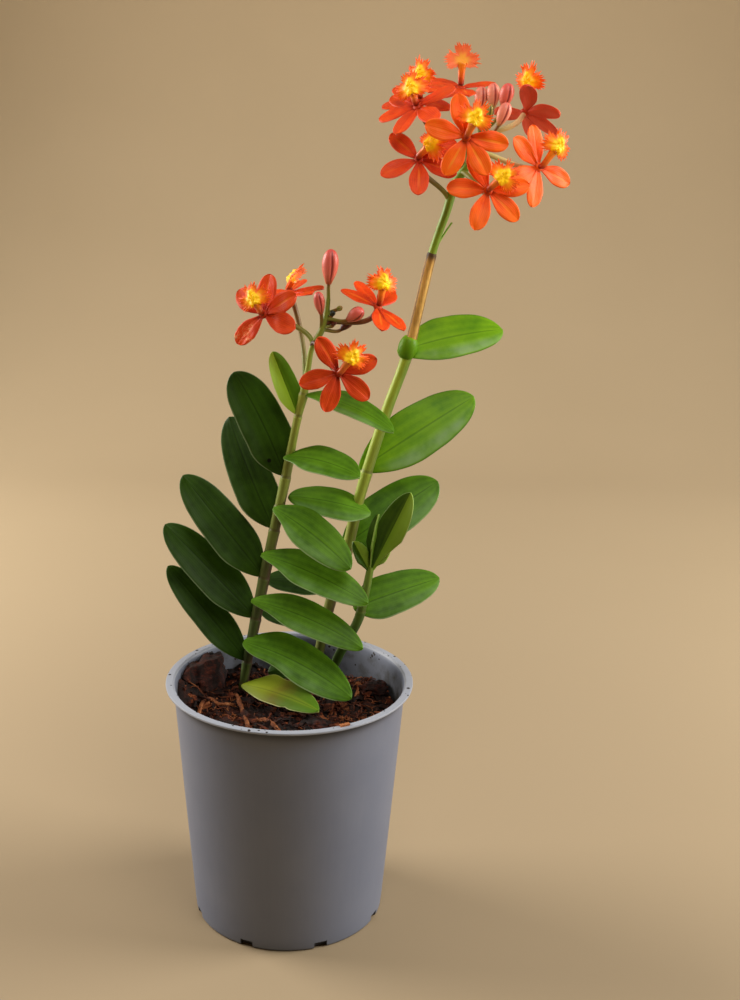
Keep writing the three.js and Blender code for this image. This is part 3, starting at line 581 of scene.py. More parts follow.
for name, (node, centre, half, turn) in CHUNKS.items():
    chunk = bmesh.new()
    bmesh.ops.create_icosphere(chunk, subdivisions=5, radius=1)
    for vert in chunk.verts:
        v = vert.co.copy()
        square = sum(abs(c) ** CHUNK_SQUARENESS for c in v) ** (-1 / CHUNK_SQUARENESS)
        rough = 1 + 0.14 * ripple(9 * v.x + 3 * v.z, 9 * v.y + centre[0], 2.2, centre[1])
        lumps = noise.noise(v * 2.6 + Vector(centre)) * 0.2
        layers = abs(noise.noise(Vector((v.x * 3, v.y * 3, v.z * 9)) + Vector(centre))) * 0.15
        vert.co = v * (square * (rough + lumps - layers) - 0.03)
    bmesh.ops.scale(chunk, vec=half, verts=chunk.verts)
    turned = Matrix.Rotation(math.radians(turn), 3, "Z")
    bmesh.ops.rotate(chunk, cent=(0, 0, 0), matrix=turned, verts=chunk.verts)
    bmesh.ops.translate(chunk, vec=centre, verts=chunk.verts)
    for vert in chunk.verts:
        vert.co.z = min(vert.co.z, CHUNK_TOP)
        most = pot_inner_radius(min(vert.co.z, POT_SHOULDER_HEIGHT)) - GAP
        if vert.co.xy.length > most:
            vert.co.xy *= most / vert.co.xy.length
    make_piece(name, chunk, [bark_chunk], [node], sharp=80)

# ---- Surface roots ------------------------------------------------------------------------------------
# Three old roots, tan and orange-brown, that run over the mix and dive into it at both ends. Their skin is
# dry and knobbly.

ROOT_RADIUS = 1.05
ROOT_STEPS = 70
ROOTS = {
    # points along the root: x, y and how far it dips below its crest
    "root_1": [
        (-27.4, 19, 3), (-24.6, 8.5, -0.8), (-20.8, -3.3, -0.4), (-17.5, -15.2, 0.4), (-15.6, -23.5, 5),
    ],
    "root_2": [
        (-39.1, -18.2, 4), (-40.2, -9.3, -0.2), (-38.9, -2.2, -0.8), (-36, 0.6, -0.8), (-32, 0.5, -0.4),
        (-28.1, 2.2, 0.2), (-24.8, 5.2, 1.5),
    ],
    "root_3": [(-15.5, -3.6, 4), (-11, -9.5, -0.5), (-6.6, -15.5, -0.2), (-2.6, -20.8, 0.6), (1.4, -26.5, 5)],
}

root_skin = Finish("root_skin", Specular_IOR_Level=0.3)
skin_patch = root_skin.grain(3.5, 4)
skin_flake = root_skin.grain(0.5, 4, rough=0.7)
root_skin.set(
    Base_Color=root_skin.ramp(
        skin_patch * 0.6 + skin_flake * 0.4,
        (0.36, "#34160a"),
        (0.47, "#6c3819"),
        (0.57, "#94582e"),
        (0.68, "#c29468"),
    ),
    Roughness=0.6 + 0.3 * skin_flake,
)
root_skin.relief(skin_flake, 0.4, 0.9)

for name, path in ROOTS.items():
    crest = [Vector((x, y, mix_surface(x, y) + 0.7 - dip)) for x, y, dip in path]
    phase = crest[0].x
    rings = []
    for i in range(ROOT_STEPS + 1):
        share = i / ROOT_STEPS
        taper = math.sin(math.pi * (i + 1) / (ROOT_STEPS + 2)) ** 0.4
        swell = 1 + 0.25 * noise.noise(Vector((share * 9, phase, 0)))
        sway = Vector([0.5 * noise.noise(Vector((share * 8, phase, 4 + 3 * axis))) for axis in range(3)])
        rings.append((through(crest, share) + sway, ROOT_RADIUS * taper * swell))

    def knobbly(angle, share):
        spot = Vector((1.4 * math.cos(angle), 1.4 * math.sin(angle), share * 22 + phase))
        return 0.92 + 0.4 * noise.noise(spot) + 0.22 * noise.noise(spot * 3)

    root = bmesh.new()
    bar(root, rings, 14, knobbly)
    make_piece(name, root, [root_skin], [f"surface_{name}"], sharp=80)

# ---- Canes --------------------------------------------------------------------------------------------
# Two reed stems and a young shoot stand in the mix. Thin leaf sheaths wrap each one from joint to joint, so
# it steps in above every leaf. Low down they are olive and brown-purple, and higher up green.

CANES = {
    # x, y, z and radius along each cane
    "a": [
        (-23.5, 19, 78, 1.9), (-23, 19, 96, 2.0), (-14, 18, 147, 2.5), (-3.5, 16, 199, 2.2),
        (1.8, 14, 227, 1.6), (4.6, 13, 239, 1.9), (6.6, 12, 251, 1.2), (8.2, 11.2, 260, 1.2),
        (11.8, 10.2, 266.5, 1.4), (14, 10, 273, 1.2), (14.9, 9.6, 281, 0.9),
    ],
    "b": [
        (6.5, 25, 78, 2.0), (9, 25, 96, 2.2), (16.5, 25, 137, 2.5), (24, 25, 164, 2.6),
        (29.2, 25, 189, 2.5), (40.4, 25, 229, 2.4), (48.4, 25, 253, 2.3), (52.2, 24.5, 270, 1.9),
        (57.8, 24, 297, 1.8), (60.4, 23.5, 306.5, 1.7), (63.5, 23, 316, 1.8), (66.9, 23, 328, 2.0),
        (71.5, 22, 335.5, 1.7), (76, 22, 345, 1.3),
    ],
    "c": [
        (12.5, 28.5, 80, 1.7), (15.5, 27.5, 96.5, 2.0), (21.2, 25.5, 112.5, 2.2), (26.2, 24, 123, 2.2),
        (30.2, 23, 132.5, 2.1), (33.6, 22, 149, 1.9), (35, 21.5, 158, 1.6),
    ],
}
JOINTS = {
    # heights at which a leaf leaves the cane
    "a": [100.5, 111.5, 122.3, 133, 142.7, 153, 165, 176, 187, 201, 210.5, 229, 239],
    "b": [109, 130, 146, 165, 183, 201.5, 255],
    "c": [136],
}
CANE_PIECES = {"a": ("stem_a", "cane_a"), "b": ("stem_b", "cane_b"), "c": ("stem_c", "shoot_c")}
CANE_SIDES = 24
CANE_STEP = 1.3  # height between its rings
CANE_SPAN = 400  # the stops of a cane's colours are shares of this height
SHEATH = 0.3  # how far a sheath's open end stands proud of the cane above it


def cane_at(cane, z):
    """The centre and radius of a cane at a height."""
    points = CANES[cane]
    curve = [Vector(p[:3]) for p in points]
    low, high = 0.0, 1.0
    for _ in range(30):
        middle = (low + high) / 2
        if through(curve, middle).z < z:
            low = middle
        else:
            high = middle
    place = low * (len(points) - 1)
    i = min(len(points) - 2, int(place))
    share = place - i
    return through(curve, low), points[i][3] * (1 - share) + points[i + 1][3] * share


def sheath_step(cane, z):
    """How much wider a cane is at a height for the sheaths that wrap it, and how near a joint it is."""
    extra, near = 0.0, 0.0
    for joint in JOINTS[cane]:
        below = joint - z
        if -0.5 < below < 9:
            extra = max(extra, SHEATH * math.exp(-max(0.0, below) / 4) * (1 if below > 0 else 0.3))
        near = max(near, hump(z - joint - 0.6, 0.9))
    return extra, near


def make_cane(cane, finish):
    points = CANES[cane]
    bm = bmesh.new()
    joint_layer, sunny_layer, band_layer = vertex_layers(bm, "joint", "sunny", "band")
    foot, top = points[0][2], points[-1][2]
    heights = [foot + CANE_STEP * i for i in range(int((top - foot) / CANE_STEP) + 1)]
    for joint in JOINTS[cane]:
        beside = [joint - 0.9, joint - 0.2, joint + 0.2, joint + 0.9]
        heights = [h for h in heights if abs(h - joint) > 1.0] + beside
    rings = []
    for z in sorted(heights):
        centre, radius = cane_at(cane, z)
        rings.append((centre, radius + sheath_step(cane, z)[0]))
    made = bar(bm, rings, CANE_SIDES, lambda angle, share: 1 + 0.012 * math.cos(9 * angle))
    along, around = vertex_layers(bm, "along", "around")
    for vert in made:
        centre = rings[round(vert[along] * (len(rings) - 1))][0]
        vert[joint_layer] = sheath_step(cane, centre.z)[1]
        vert[sunny_layer] = 0.5 - 0.5 * math.cos(vert[around] - 0.5)
        passed = sum(1 for joint in JOINTS[cane] if joint < centre.z)
        vert[band_layer] = (passed % 2) * 0.7 + 0.3 * ((passed * 37) % 10) / 10
    name, node = CANE_PIECES[cane]
    make_piece(name, bm, [finish], [node], sharp=60)


def cane_finish(name, stops):
    """Skin of a cane, by stops of (height, colour of its sunny side, colour of its shaded side)."""
    finish = Finish(name, Specular_IOR_Level=0.5)
    height = finish.axis("Z") * (1 / CANE_SPAN)
    lit = finish.ramp(height, *[(z / CANE_SPAN, sunny) for z, sunny, _ in stops])
    dim = finish.ramp(height, *[(z / CANE_SPAN, shaded) for z, _, shaded in stops])
    blotch = finish.grain(6, 4, stretch=(1, 1, 0.4))
    streak = finish.grain(0.7, 3, stretch=(1, 1, 0.05))
    share = finish.attribute("sunny") * 0.75 + finish.attribute("band") * 0.2 + blotch * 0.4 - 0.15
    colour = finish.blend(finish.step(share, 0.28, 0.78), dim, lit)
    colour = finish.blend(finish.step(streak, 0.45, 0.75) * 0.25, colour, "#c7cc8a", "SOFT_LIGHT")
    colour = finish.blend(finish.step(finish.attribute("joint"), 0.3, 1.0) * 0.45, colour, "#4a2c14")
    finish.set(Base_Color=colour, Roughness=0.36 + 0.25 * blotch)
    finish.relief(streak, 0.1, 0.6)
    return finish


CANE_COLOURS = {
    # height, colour of the sunny side, colour of the shaded side
    "a": [
        (85, "#3e4e20", "#30231a"),
        (115, "#465624", "#3a2a1e"),
        (160, "#566626", "#42301e"),
        (195, "#7f8c30", "#565824"),
        (235, "#98a238", "#6f8028"),
        (275, "#7c8c30", "#586828"),
    ],
    "b": [
        (85, "#3c4a20", "#211f14"),
        (150, "#949a3e", "#564624"),
        (200, "#a6ba3c", "#66742a"),
        (250, "#9eb42e", "#6c862a"),
        (305, "#78981a", "#5c8020"),
        (345, "#5c8a18", "#46701c"),
    ],
    "c": [
        (85, "#3a5218", "#24360f"),
        (120, "#4a681e", "#304a14"),
        (170, "#7a942c", "#566e20"),
    ],
}
for cane, stops in CANE_COLOURS.items():
    make_cane(cane, cane_finish(f"cane_{cane}_skin", stops))

# ---- Leaves -------------------------------------------------------------------------------------------
# Thick, stiff leaves in two ranks on each cane, each folded lightly along its midrib and clasping the cane
# at its foot. The old ones are dark green, the upper ones bright, and the lowest has faded to yellow-green.

RANKS = {
    # z, heading, rise, roll, length, width, then what differs from the rank: see leaf_shape
    "a_left_leaf": (
        {"cane": "a", "arch": 2, "cup": 1, "belly": 0.35, "blunt": 5, "tone": "dark"},
        [
            (111.5, 159, 45, -52, 56, 15.4, {}),
            (133, 160, 40.5, -50, 58.5, 19, {}),
            (153, 160, 47, -55, 57.5, 20, {}),
            (176, 135, 56, -60, 54, 20.5, {"belly": 0.3}),
            (201, 153, 59, -60, 50, 20.8, {"belly": 0.32, "blunt": 6, "bow": 1.5}),
            (229, 137, 58, -40, 29.5, 10.6, {"arch": 0, "cup": 4, "blunt": 4, "tone": "folded", "crease": 1}),
        ],
    ),
    "a_right_leaf": (
        {"cane": "a", "arch": 3, "cup": 1, "belly": 0.4, "blunt": 4, "tone": "mid", "slim": 0.4, "bow": -0.8},
        [
            (100.5, -37, 1, 25, 45.5, 14, {
                "arch": 1.5, "cup": 0.5, "tone": "faded", "foot": (-0.5, -2.8), "slim": 0.2, "withered": True,
            }),
            (122.3, -18, -20.3, 48, 56, 21, {
                "cup": 1.5, "belly": 0.34, "foot": (-3.4, -2.6), "slim": 0.42, "slim_at": 0.27, "bow": -2.2,
            }),
            (142.7, -20, -15, 48, 56, 16.6, {"foot": (-3.6, -2.8), "bow": -1.9}),
            (165, -22, -16, 42, 54, 18, {"foot": (-3.4, -2.8)}),
            (187, -30, -27, 45, 45, 18, {"blunt": 5, "foot": (-2.4, -2.6)}),
            (210.5, -30, -4, 25, 38.5, 18, {"arch": 2.5, "blunt": 5, "foot": (-2.4, -2.2)}),
            (239, -28, -14, 20, 44, 15.5, {}),
        ],
    ),
    "b_right_leaf": (
        {"cane": "b", "arch": 2, "cup": 1, "belly": 0.45, "blunt": 5, "tone": "mid"},
        [
            (165, 22, 30, 55, 53.5, 24, {"foot": (-2, 3.4)}),
            (201.5, 15, 31, 60, 61, 24.8, {"tone": "light", "foot": (-3, 3.6)}),
            (255, 16, 10, 45, 49, 22, {"arch": 3, "tone": "light", "foot": (-4, 3)}),
        ],
    ),
    "b_left_leaf": (
        {"cane": "b", "arch": 1.5, "cup": 0, "belly": 0.4, "blunt": 4, "tone": "dark"},
        [
            (109, -165, -8, -35, 22, 13, {}),
            (130, 177, 6, -35, 29, 15, {}),
            (146, 176, 5, -30, 31, 15, {}),
            (183, -170, 13.5, -35, 38, 18.5, {"arch": 2, "tone": "mid", "foot": (6.5, -2.8)}),
        ],
    ),
    "c_right_leaf": (
        {"cane": "c", "arch": 2, "cup": 1, "belly": 0.3, "blunt": 4, "tone": "mid"},
        [(136, 18, 14.5, 55, 43, 20, {"foot": (-3.5, 3.2)})],
    ),
}
LEAF_COLUMNS = 28
LEAF_ROWS = 64
LEAF_MIDDLE = 1.5  # thickness along the midrib
LEAF_EDGE = 0.55
WITHERED_BUMPS = [
    # on the upper margin of a withering leaf: height, place along it, width
    (0.28, 0.27, 0.11),
    (0.34, 0.64, 0.1),
]
UP = Vector((0, 0, 1))


def leaf_axes(heading, rise, roll=0):
    """The ways a leaf points, faces and reaches across, by its heading and rise in degrees."""
    h, r = math.radians(heading), math.radians(rise)
    along = Vector((math.cos(h) * math.cos(r), math.sin(h) * math.cos(r), math.sin(r)))
    face = (UP - along * UP.dot(along)).normalized()
    face.rotate(Quaternion(along, math.radians(roll)))
    return along, face, along.cross(face)


def rounded_edge(u, power=4):
    """Share of a blade's thickness at u: 1 in the middle, and round to 0 at its margins."""
    return math.sqrt(max(0.0, 1 - abs(u) ** power))


def blade(bm, columns, rows, face, back, thickness):
    """Adds a thin closed blade and returns its vertices.

    back(u, t) is its hind side, u from -1 to 1 across and t from 0 to 1 along, and thickness(u, t) is laid
    on it towards face. The layers across, along and under keep u, t, and 1 on the hind side.
    """
    across, along, under = vertex_layers(bm, "across", "along", "under")
    verts = bmesh.ops.create_grid(bm, x_segments=columns, y_segments=rows, size=1)["verts"]
    for vert in verts:
        u = vert.co.x
        t = (1 - math.cos(math.pi * (vert.co.y + 1) / 2)) / 2
        vert[across] = u
        vert[along] = t
        vert[under] = 1
        vert.co = back(u, t)
    faces = list({f for vert in verts for f in vert.link_faces})
    bmesh.ops.remove_doubles(bm, verts=verts, dist=1e-4)
    verts = [vert for vert in verts if vert.is_valid]
    faces = [f for f in faces if f.is_valid]
    grown = bmesh.ops.extrude_face_region(bm, geom=faces, use_keep_orig=True)["geom"]
    front = [g for g in grown if isinstance(g, bmesh.types.BMVert)]
    for vert in front:
        vert[under] = 0
        vert.co += face * thickness(vert[across], vert[along])
    shell = list({f for vert in verts + front for f in vert.link_faces})
    bmesh.ops.recalc_face_normals(bm, faces=shell)
    bm.normal_update()
    if sum(f.normal.dot(face) for f in faces) > 0:  # the hind side has to look away from face
        bmesh.ops.reverse_faces(bm, faces=shell)
    return verts + front


def leaf_half_width(width, t, belly=0.45, blunt=4):
    """Half the width at a share t of the length: full from belly on, then rounded off, blunter by blunt."""
    base = 0.12 + 0.88 * math.sin(math.pi / 2 * min(1, t / belly)) ** 0.8
    return 0.5 * width * base * max(0, 1 - t**blunt) ** 0.6


def withered(u, t):
    """How the margins of a withering leaf swell on its upper side and tuck in on its lower one."""
    if u > 0:
        return 1 - 0.12 * hump(t - 0.66, 0.03)
    return 1.2 + sum(tall * hump(t - place, wide) for tall, place, wide in WITHERED_BUMPS)


def leaf_shape(z, heading, rise, roll, length, width, extras, seed):
    """One leaf. foot moves its base sideways off the cane, and bow bends it sideways.

    slim takes in the side u > 0 round the share slim_at. At a crease of 1 the leaf is folded straight, and
    above that it is cupped more roundly.
    """
    centre, radius = cane_at(extras["cane"], z)
    along, face, side = leaf_axes(heading, rise, roll)
    foot = centre + (Vector((*extras["foot"], 0)) if "foot" in extras else along * (radius * 0.6))
    arch, cup, bow = extras["arch"], extras["cup"], extras.get("bow", 0)

    def thickness(u, t):
        groove = 0.3 * hump(u, 0.05) * min(1, 4 * (1 - t))
        return 0.12 + (LEAF_EDGE + (LEAF_MIDDLE - LEAF_EDGE) * (1 - abs(u)) ** 1.2) * rounded_edge(u) - groove

    def back(u, t):
        half = leaf_half_width(width, t, extras["belly"], extras["blunt"])
        half *= 1 + 0.018 * noise.noise(Vector((t * 7, math.copysign(3, u), seed)))
        if u > 0:
            half *= 1 - extras.get("slim", 0) * hump(t - extras.get("slim_at", 0.12), 0.22)
        if extras.get("withered"):
            half *= withered(u, t)
        lift = arch * 4 * t * (1 - t) + cup * abs(u) ** extras.get("crease", 1.4) * 2 * half / width
        wave = 0.3 * noise.noise(Vector((t * 4, u * 0.8, seed + 9))) * abs(u)
        twist = 0.5 * noise.noise(Vector((t * 2.2, 0, seed + 20))) * u
        across = half * u + bow * 4 * t * (1 - t)
        middle = foot + along * (length * t) + side * across + face * (lift + wave + twist)
        return middle - face * (0.5 * thickness(u, t))

    bm = bmesh.new()
    blade(bm, LEAF_COLUMNS, LEAF_ROWS, face, back, thickness)
    if side.z > 0:  # leaf_finish wants across to be positive on the lower half
        (across_layer,) = vertex_layers(bm, "across")
        for vert in bm.verts:
            vert[across_layer] *= -1
    return bm


def leaf_finish(
    name, deep, fresh, rib, hind, margin, margin_share, low_margin, painted_sheen, shaded_and_lit_halves=None, stops=None, hole=None
):
    """Leaf skin: parallel veins, a dark midrib channel with paler lips, a fine margin, a matt back.

    The layer across is positive on the lower half of the blade. There the margin takes the colour
    low_margin, and a painted grey sheen, a highlight as strong as painted_sheen, lies beside it.
    shaded_and_lit_halves paints the upper half darker and the lower half lighter, as painted shade and
    light, stops colours the leaf from its foot to its tip, and hole is the x and z of a small dark spot
    painted where a hole is, for the shade seen through it.
    """
    finish = Finish(name, Specular_IOR_Level=0.12, Coat_Roughness=0.35)
    across, along, under = (finish.attribute(n) for n in ("across", "along", "under"))
    patch = finish.grain(14, 3)
    mottle = finish.grain(2.2, 4)
    warp = finish.grain(20, 2)
    vein = finish.waves(across * 62 + warp * 9)
    broad = finish.waves(across * 15 + warp * 4)
    reach = abs(across)
    texture = patch * 0.66 + mottle * 0.22 + vein * 0.03 + broad * 0.09
    colour = finish.ramp(texture, (0.32, deep), (0.68, fresh))
    # painted shade and painted light: the upper half of the blade is painted darker and the lower half
    # lighter
    if shaded_and_lit_halves:
        colour = finish.blend(0.75, colour, finish.blend(finish.step(across, -0.04, 0.04), *shaded_and_lit_halves))
    if stops:
        colour = finish.blend(0.85, colour, finish.ramp(along + (patch - 0.5) * 0.5, *stops))
    lips = finish.between(reach, 0.02, 0.07, 0.08, 0.3)
    colour = finish.blend(lips * 0.25, colour, fresh)
    channel = finish.fade(reach, 0.012, 0.05) * (1 - finish.step(along, 0.85, 1.0) * 0.7)
    colour = finish.blend(channel * 0.5, colour, rib)
    colour = finish.blend(finish.step(vein, 0.7, 1.0) * 0.03, colour, rib)
    # painted sheen: a grey highlight painted on the lower half, standing in for a reflection of the light
    painted_highlight_band = finish.between(across, 0.25, 0.75, 0.88, 0.97) * finish.between(along, 0.08, 0.3, 0.85, 1.0)
    colour = finish.blend(painted_highlight_band * finish.step(patch, 0.3, 0.65) * painted_sheen, colour, "#93a596")
    colour = finish.blend(finish.step(reach, 0.94, 0.985) * margin_share, colour, margin)
    colour = finish.blend(finish.step(across, 0.91, 0.98) * 0.45, colour, low_margin)
    colour = finish.blend(finish.fade(along, 0.0, 0.08) * 0.45, colour, fresh)
    colour = finish.blend(under * 0.85, colour, hind)
    colour = finish.blend(finish.flecks(11, 25, 0.52, 0.62) * 0.5, colour, "#2c2814")
    # painted shade: a small near-black spot painted on the blade stands for a hole and the shade seen through
    # it
    if hole:
        sides = {0: finish.stretched((1, 0, 1)), 1: (hole[0] * MM, 0, hole[1] * MM)}
        away = finish.add("ShaderNodeVectorMath", {"operation": "DISTANCE"}, sides, "Value")
        colour = finish.blend(finish.fade(away, 0.7 * MM, 1.1 * MM), colour, "#0c0c06")
    finish.set(Base_Color=colour, Roughness=0.4 + 0.12 * mottle + 0.15 * under)
    finish.set(Coat_Weight=0.06 - 0.05 * under)
    finish.relief(vein * 0.12 + mottle * 0.5 + broad * 0.38, 0.14, 0.5)
    return finish


LEAF_COLOURS = {
    # deep, fresh, rib, hind, margin and its share, low_margin, painted_sheen (strength of the painted grey
    # sheen)
    "dark": ("#203806", "#34550a", "#142404", "#3e5a1a", "#8b9f76", 0.45, "#7f9468", 0.05),
    "mid": ("#395e09", "#5e8d16", "#284606", "#567a2c", "#4c7020", 0.3, "#a9b98a", 0.16),
    "light": ("#52840a", "#78a810", "#3a620a", "#7fa03f", "#44641c", 0.5, "#4f6e2a", 0.4),
    "folded": ("#5a8a14", "#8cb826", "#355a0e", "#86aa3a", "#b4cc70", 0.3, "#b4cc70", 0.1),
    "young": ("#2f500a", "#6f961e", "#263c0a", "#5c8426", "#b4ca80", 0.5, "#b4ca80", 0.1),
    "faded": ("#748418", "#98a424", "#5f6c18", "#8f9a38", "#c2c47c", 0.3, "#d0cf98", 0.1),
}
LEAF_EXTRAS = {
    "dark": {"hole": (-10.4, 208.3)},  # it falls on the fifth left leaf of cane a
    # the folded and young leaves take painted shade on their upper half and painted light on their lower half
    "folded": {"shaded_and_lit_halves": ("#4f7a18", "#a6cc3c")},
    "young": {"shaded_and_lit_halves": ("#223e08", "#94b438")},
    "faded": {
        "stops": (
            (0.05, "#82941a"), (0.36, "#78841a"), (0.5, "#625a1a"), (0.62, "#466416"), (0.9, "#447216"),
        ),
    },
}
leaf_skins = {
    tone: leaf_finish(f"{tone}_leaf", *colours, **LEAF_EXTRAS.get(tone, {}))
    for tone, colours in LEAF_COLOURS.items()
}

leaf_seed = 1
for rank, (common, leaves) in RANKS.items():
    cane, side_name, _ = rank.split("_")
    for number, (z, heading, rise, roll, length, width, own) in enumerate(leaves, 1):
        extras = {**common, **own}
        tone = extras["tone"]
        shape = leaf_shape(z, heading, rise, roll, length, width, extras, leaf_seed)
        node = f"leaf_{cane}_{side_name}_{number}"
        make_piece(f"{rank}_{number}", shape, [leaf_skins[tone]], [node], sharp=70)
        leaf_seed += 1

# ---- Young leaves -------------------------------------------------------------------------------------
# The shoot's newest leaves, still folded along the midrib and pressed together at its top.

YOUNG_LEAVES = [
    # z, heading, rise, length, width, roll, cup
    (154, -10, 66, 44, 15, 85, 3),
    (154, -50, 79, 31, 8.5, 70, 3),
    (155, 205, 62, 18, 9, -70, 2),
    (156, 0, 52, 15, 7, 60, 2),
]


def young_leaf(bm, z, heading, rise, length, width, roll, cup):
    foot, _ = cane_at("c", z)
    along, face, side = leaf_axes(heading, rise, roll)

    def back(u, t):
        half = leaf_half_width(width, t, 0.7) * (0.45 + 0.55 * min(1, 2 * t) ** 2)
        lift = cup * abs(u) * 2 * half / width - 0.45 + 0.35 * noise.noise(Vector((t * 4, u, z + length)))
        return foot + along * (length * t) + side * (half * u) + face * lift

    blade(bm, 20, 40, face, back, lambda u, t: 0.15 + 0.75 * rounded_edge(u))


young = bmesh.new()
for leaf in YOUNG_LEAVES:
    young_leaf(young, *leaf)
make_piece("young_leaves", young, [leaf_skins["young"]], sharp=70)

# ---- Blooms -------------------------------------------------------------------------------------------
# Each bloom is five spread tepals, orange-red in front and coral behind, that meet in a small cup. They are
# about 0.5 mm thick, with a shallow groove along the middle.

BLOOMS = {
    # centre, turn, lift, tepal angles, lip (side, bend, reach), foot of the pedicel, tone
    "a1": ((-12, 8, 274), -27, 20, (-60, 0, 57, 106, -145), (-30, 75, 6.5), (8.3, 11, 261), "red"),
    "a2": ((-2, 27, 280), -68, 72, (51, 74, -50, -120, 170), (50, 45, 6.5), (6.8, 12, 253), "red"),
    "a3": ((35.6, 8, 277.8), 42, 61, (-39, 1, -149, 174, 60), (20, 35, 9), (12.6, 10, 268), "red"),
    "a4": ((20, -12, 254), 15, 5, (-31, -103, -160, 130, 73), (30, 75, 9.5), (8.2, 11, 260), "deep"),
    "b1": ((68, 30, 366), 0, 78, (62, -42, -84, -124, 172), (8, 15, 10), (74, 22.4, 341), "red"),
    "b2": ((52.1, 47.5, 360.6), -20, 62, (180, 118, -122, -60, 62), (10, 25, 9.5), (70, 22.4, 333.5), "red"),
    "b3": ((50, 13, 358.5), -40, 50, (-75, -118, 178, 118, 45), (-28, 40, 6.5), (69, 22.6, 332), "red"),
    "b4": ((51, 10, 338), -5, 38, (-47, -118, 175, 113, 62), (62, 60, 8), (64.5, 22.6, 319.5), "red"),
    "b5": ((69, -5, 348), 0, 8, (-16, -76, -152, 149, 98), (24, 75, 8.5), (71.5, 21.6, 335.5), "orange"),
    "b6": ((95, 29, 357), 140, 43, (-30, -88, -140, 172, 100), (0, 60, 11.5), (75.6, 22.4, 344), "red"),
    "b7": ((100, 13, 336), 33, 12, (-46, -112, -162, 114, -5), (32, 75, 10), (73, 21.8, 338.5), "orange"),
    "b8": ((79, 1, 327), 5, 18, (-85, -24, -159, 133, 82), (50, 65, 8), (69, 22, 331), "orange"),
}
TEPAL_LENGTH = 17
TEPAL_START = 1.1
TEPAL_WIDTH = 8.4
TEPAL_SKIN = 0.5
BROAD_BLOOMS = {"a1": 1.12}  # how much wider than the others its tepals are
TORN_TEPAL = ("a1", 4)  # bloom, and which of its tepals
HUB_BACK = 1.0
HUB_FRONT = 1.2
HUB_RINGS = [
    # forward of the bloom's middle, radius of the small cup where the tepals meet
    (-HUB_BACK, 1.24), (-0.6, 1.64), (0, 1.96), (0.72, 1.8), (HUB_FRONT, 1.1),
]


def bloom_frame(centre, turn, lift):
    """A bloom's middle, the way it faces, and in_plane, the way some degrees round from its top."""
    t, rise = math.radians(turn), math.radians(lift)
    out = Vector((math.sin(t) * math.cos(rise), -math.cos(t) * math.cos(rise), math.sin(rise)))
    top = Vector((-math.sin(t) * math.sin(rise), math.cos(t) * math.sin(rise), math.cos(rise)))
    right = top.cross(out)

    def in_plane(degrees):
        return top * math.cos(math.radians(degrees)) + right * math.sin(math.radians(degrees))

    return Vector(centre), out, in_plane


def tepal(bm, centre, out, along, seed, broad, torn):
    side = along.cross(out)
    curl = noise.noise(Vector((seed, 2.5, 0)))
    skew = 0.9 * noise.noise(Vector((seed, 7.5, 0)))

    def thickness(u, t):
        groove = 0.16 * hump(u, 0.09) * min(1, 5 * (1 - t))
        return 0.1 + TEPAL_SKIN * rounded_edge(u, 5) - groove

    def back(u, t):
        full = 0.22 + 0.78 * math.sin(math.pi / 2 * min(1, t / 0.6)) ** 1.2
        half = 0.5 * TEPAL_WIDTH * broad * full * max(0, 1 - t**6) ** 0.6
        half *= 1 + 0.03 * noise.noise(Vector((t * 6, math.copysign(2, u), seed)))
        forward = 1.9 * t - 1.6 * t * t + 0.5 * u * u + curl * t * t
        forward += 0.45 * noise.noise(Vector((t * 3, u * 1.2, seed + 5))) - 0.25
        reach = TEPAL_START + (TEPAL_LENGTH - TEPAL_START) * t
        if torn:
            reach -= 3.2 * t**4 * hump(u + 0.25, 0.16)
            forward += 0.5 * noise.noise(Vector((t * 8, u * 4, seed))) * t
        return centre + along * reach + side * (half * u + skew * t * t) + out * forward

    return blade(bm, 18, 26, out, back, thickness)


def tepal_finish(name, deep, warm, bright, pink):
    """Petal skin: a faint bright line along the middle, fine veins, darker at the foot, coral behind."""
    finish = Finish(
        name, Specular_IOR_Level=0.22,
        Subsurface_Weight=0.15, Subsurface_Scale=MM, Subsurface_Radius=(1.0, 0.3, 0.05),
    )
    across, along, under = (finish.attribute(n) for n in ("across", "along", "under"))
    reach = abs(across)
    cloud = finish.grain(4.5, 3)
    fine = finish.grain(0.8, 3)
    vein = finish.waves(across * 34 + cloud * 5)
    texture = along * 0.3 + cloud * 0.5 + vein * 0.12 + fine * 0.08
    colour = finish.ramp(texture, (0.28, deep), (0.62, warm))
    line = finish.fade(reach, 0.02, 0.22) * finish.between(along, 0.12, 0.35, 0.65, 0.95)
    line = line * finish.step(finish.grain(22, 1), 0.42, 0.6)
    colour = finish.blend(line * 0.5, colour, bright)
    colour = finish.blend(finish.step(reach, 0.82, 1.0) * 0.3, colour, pink)
    colour = finish.blend(finish.fade(along, 0.0, 0.16) * 0.55, colour, "#7c1608")
    colour = finish.blend(under * 0.7, colour, pink)
    colour = finish.blend(finish.flecks(6, 9, 0.55, 0.65) * 0.5, colour, "#5c1208")
    scar = finish.attribute("scar") * finish.step(cloud, 0.5, 0.62) * finish.step(along, 0.25, 0.5)
    colour = finish.blend(scar * finish.step(fine, 0.4, 0.6), colour, "#f29a66")
    finish.set(Base_Color=colour, Roughness=0.42 + 0.16 * fine)
    finish.relief(vein * 0.5 + fine * 0.3 + cloud * 0.2, 0.08, 0.55)
    return finish


TEPAL_TONES = {
    "deep": tepal_finish("tepal_deep", "#b42a03", "#ce4206", "#e46c18", "#b84a30"),
    "red": tepal_finish("tepal_red", "#c02c03", "#de4808", "#f58020", "#d4523a"),
    "orange": tepal_finish("tepal_orange", "#f64a02", "#ff6a08", "#ffa028", "#f46c40"),
}


